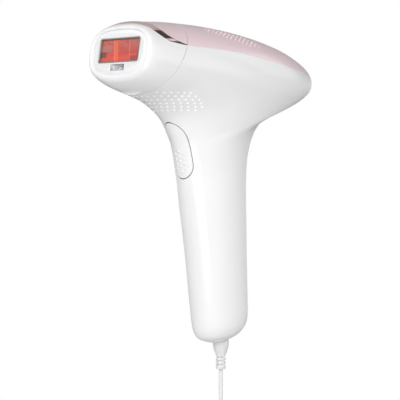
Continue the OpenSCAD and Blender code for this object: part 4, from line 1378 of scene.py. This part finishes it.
def slab(name, w, l, r, centre, levels, slot):
    """A block with a rounded outline: levels are (inset, z) from the floor up."""
    rings = [[(centre[0] + x, centre[1] + y, z)
              for x, y in rounded_outline(w - 2 * inset, l - 2 * inset, r - inset)]
             for inset, z in levels]
    return stack(name, rings, slot)


def build_adapter():
    """Wall adapter: two halves with a seam, finger ridges, ringed relief and round pins."""
    centre = (0, (ADAPTER_Y0 + ADAPTER_Y1) / 2)
    length = ADAPTER_Y1 - ADAPTER_Y0
    top, split = FLOOR_Z + 28, -133.0
    curve = [(2.2 * (1 - math.sin(t)), 2.2 * (1 - math.cos(t))) for t in np.radians([0, 20, 40, 60, 75, 90])]
    lower = [(i, FLOOR_Z + z) for i, z in curve] + [(0, split - 0.25), (0.25, split)]
    upper = [(0.25, split), (0, split + 0.25)] + [(i, top - z) for i, z in curve[::-1]]
    body = slab("adapter_lower_half", 40, length, 6, centre, lower, "white_shell")
    cover = slab("adapter_upper_half", 40, length, 6, centre, upper, "white_shell")
    for k in range(5):
        y = centre[1] - 14 + 3.2 * k
        for x in (-1, 1):
            groove = slab("cutter", 1.2, 1.6, 0.5, (x * 20, y), [(0, split + 2), (0, top - 5)], None)
            boolean(cover, groove)
    for piece, node in ((body, "adapter_body"), (cover, "adapter_cover")):
        place(piece, "root", node, sharp=30)

    profile = [(1.9, 0), (2.1, 0.3)]
    for k in range(5):
        at, r = 2.0 + 3.4 * k, 2.2 + 0.27 * k
        profile += [(r, at), (r, at + 2.2), (r - 0.55, at + 2.4), (r - 0.55, at + 3.1)]
    profile += [(3.55, 19.4), (3.6, 20.0)]
    relief = lathe("adapter_relief_sleeve", profile, (ADAPTER_X, -8, -142), (0, 1, 0), "cord_white", 32)
    place(relief, "root", "adapter_relief")

    profile = [(2.0, 0), (2.0, 17.0), (1.93, 17.6), (1.7, 18.3), (1.2, 18.8), (0.5, 19.0)]
    prongs, other = (lathe("pin", profile, (x, ADAPTER_Y1, FLOOR_Z + 10), (0, 1, 0), sides=36)
                     for x in (-9.3, 9.3))
    boolean(prongs, other, "UNION")
    prongs.name = "mains_pin_pair"
    return [body, cover, relief, place(prongs, "root", "mains_pins", slot="plug_metal", sharp=40)]


# ---------------------------------------------------------------- everything

def dress_cad_nodes():
    """Every CAD node that still shows gets the material of its slot."""
    slots = {row["node"]: row["material_slot"] for row in frame["record"]["subparts"]}
    for name, node in frame["nodes"].items():
        if not node.hide_render:
            finish_piece(node, slots[name])


def main():
    make_camera()
    make_world()
    make_floor()
    for light in LIGHTS:
        area_light(*light)
    cord = build_cord()
    pieces = [build_strain_relief(), build_tie(), *build_adapter()]
    build_housing()
    build_vent_dots()
    build_back_cover()
    build_gap_shade_rings()
    build_lights()
    build_flash_button()
    build_power_button()
    build_face()
    dress_cad_nodes()


main()
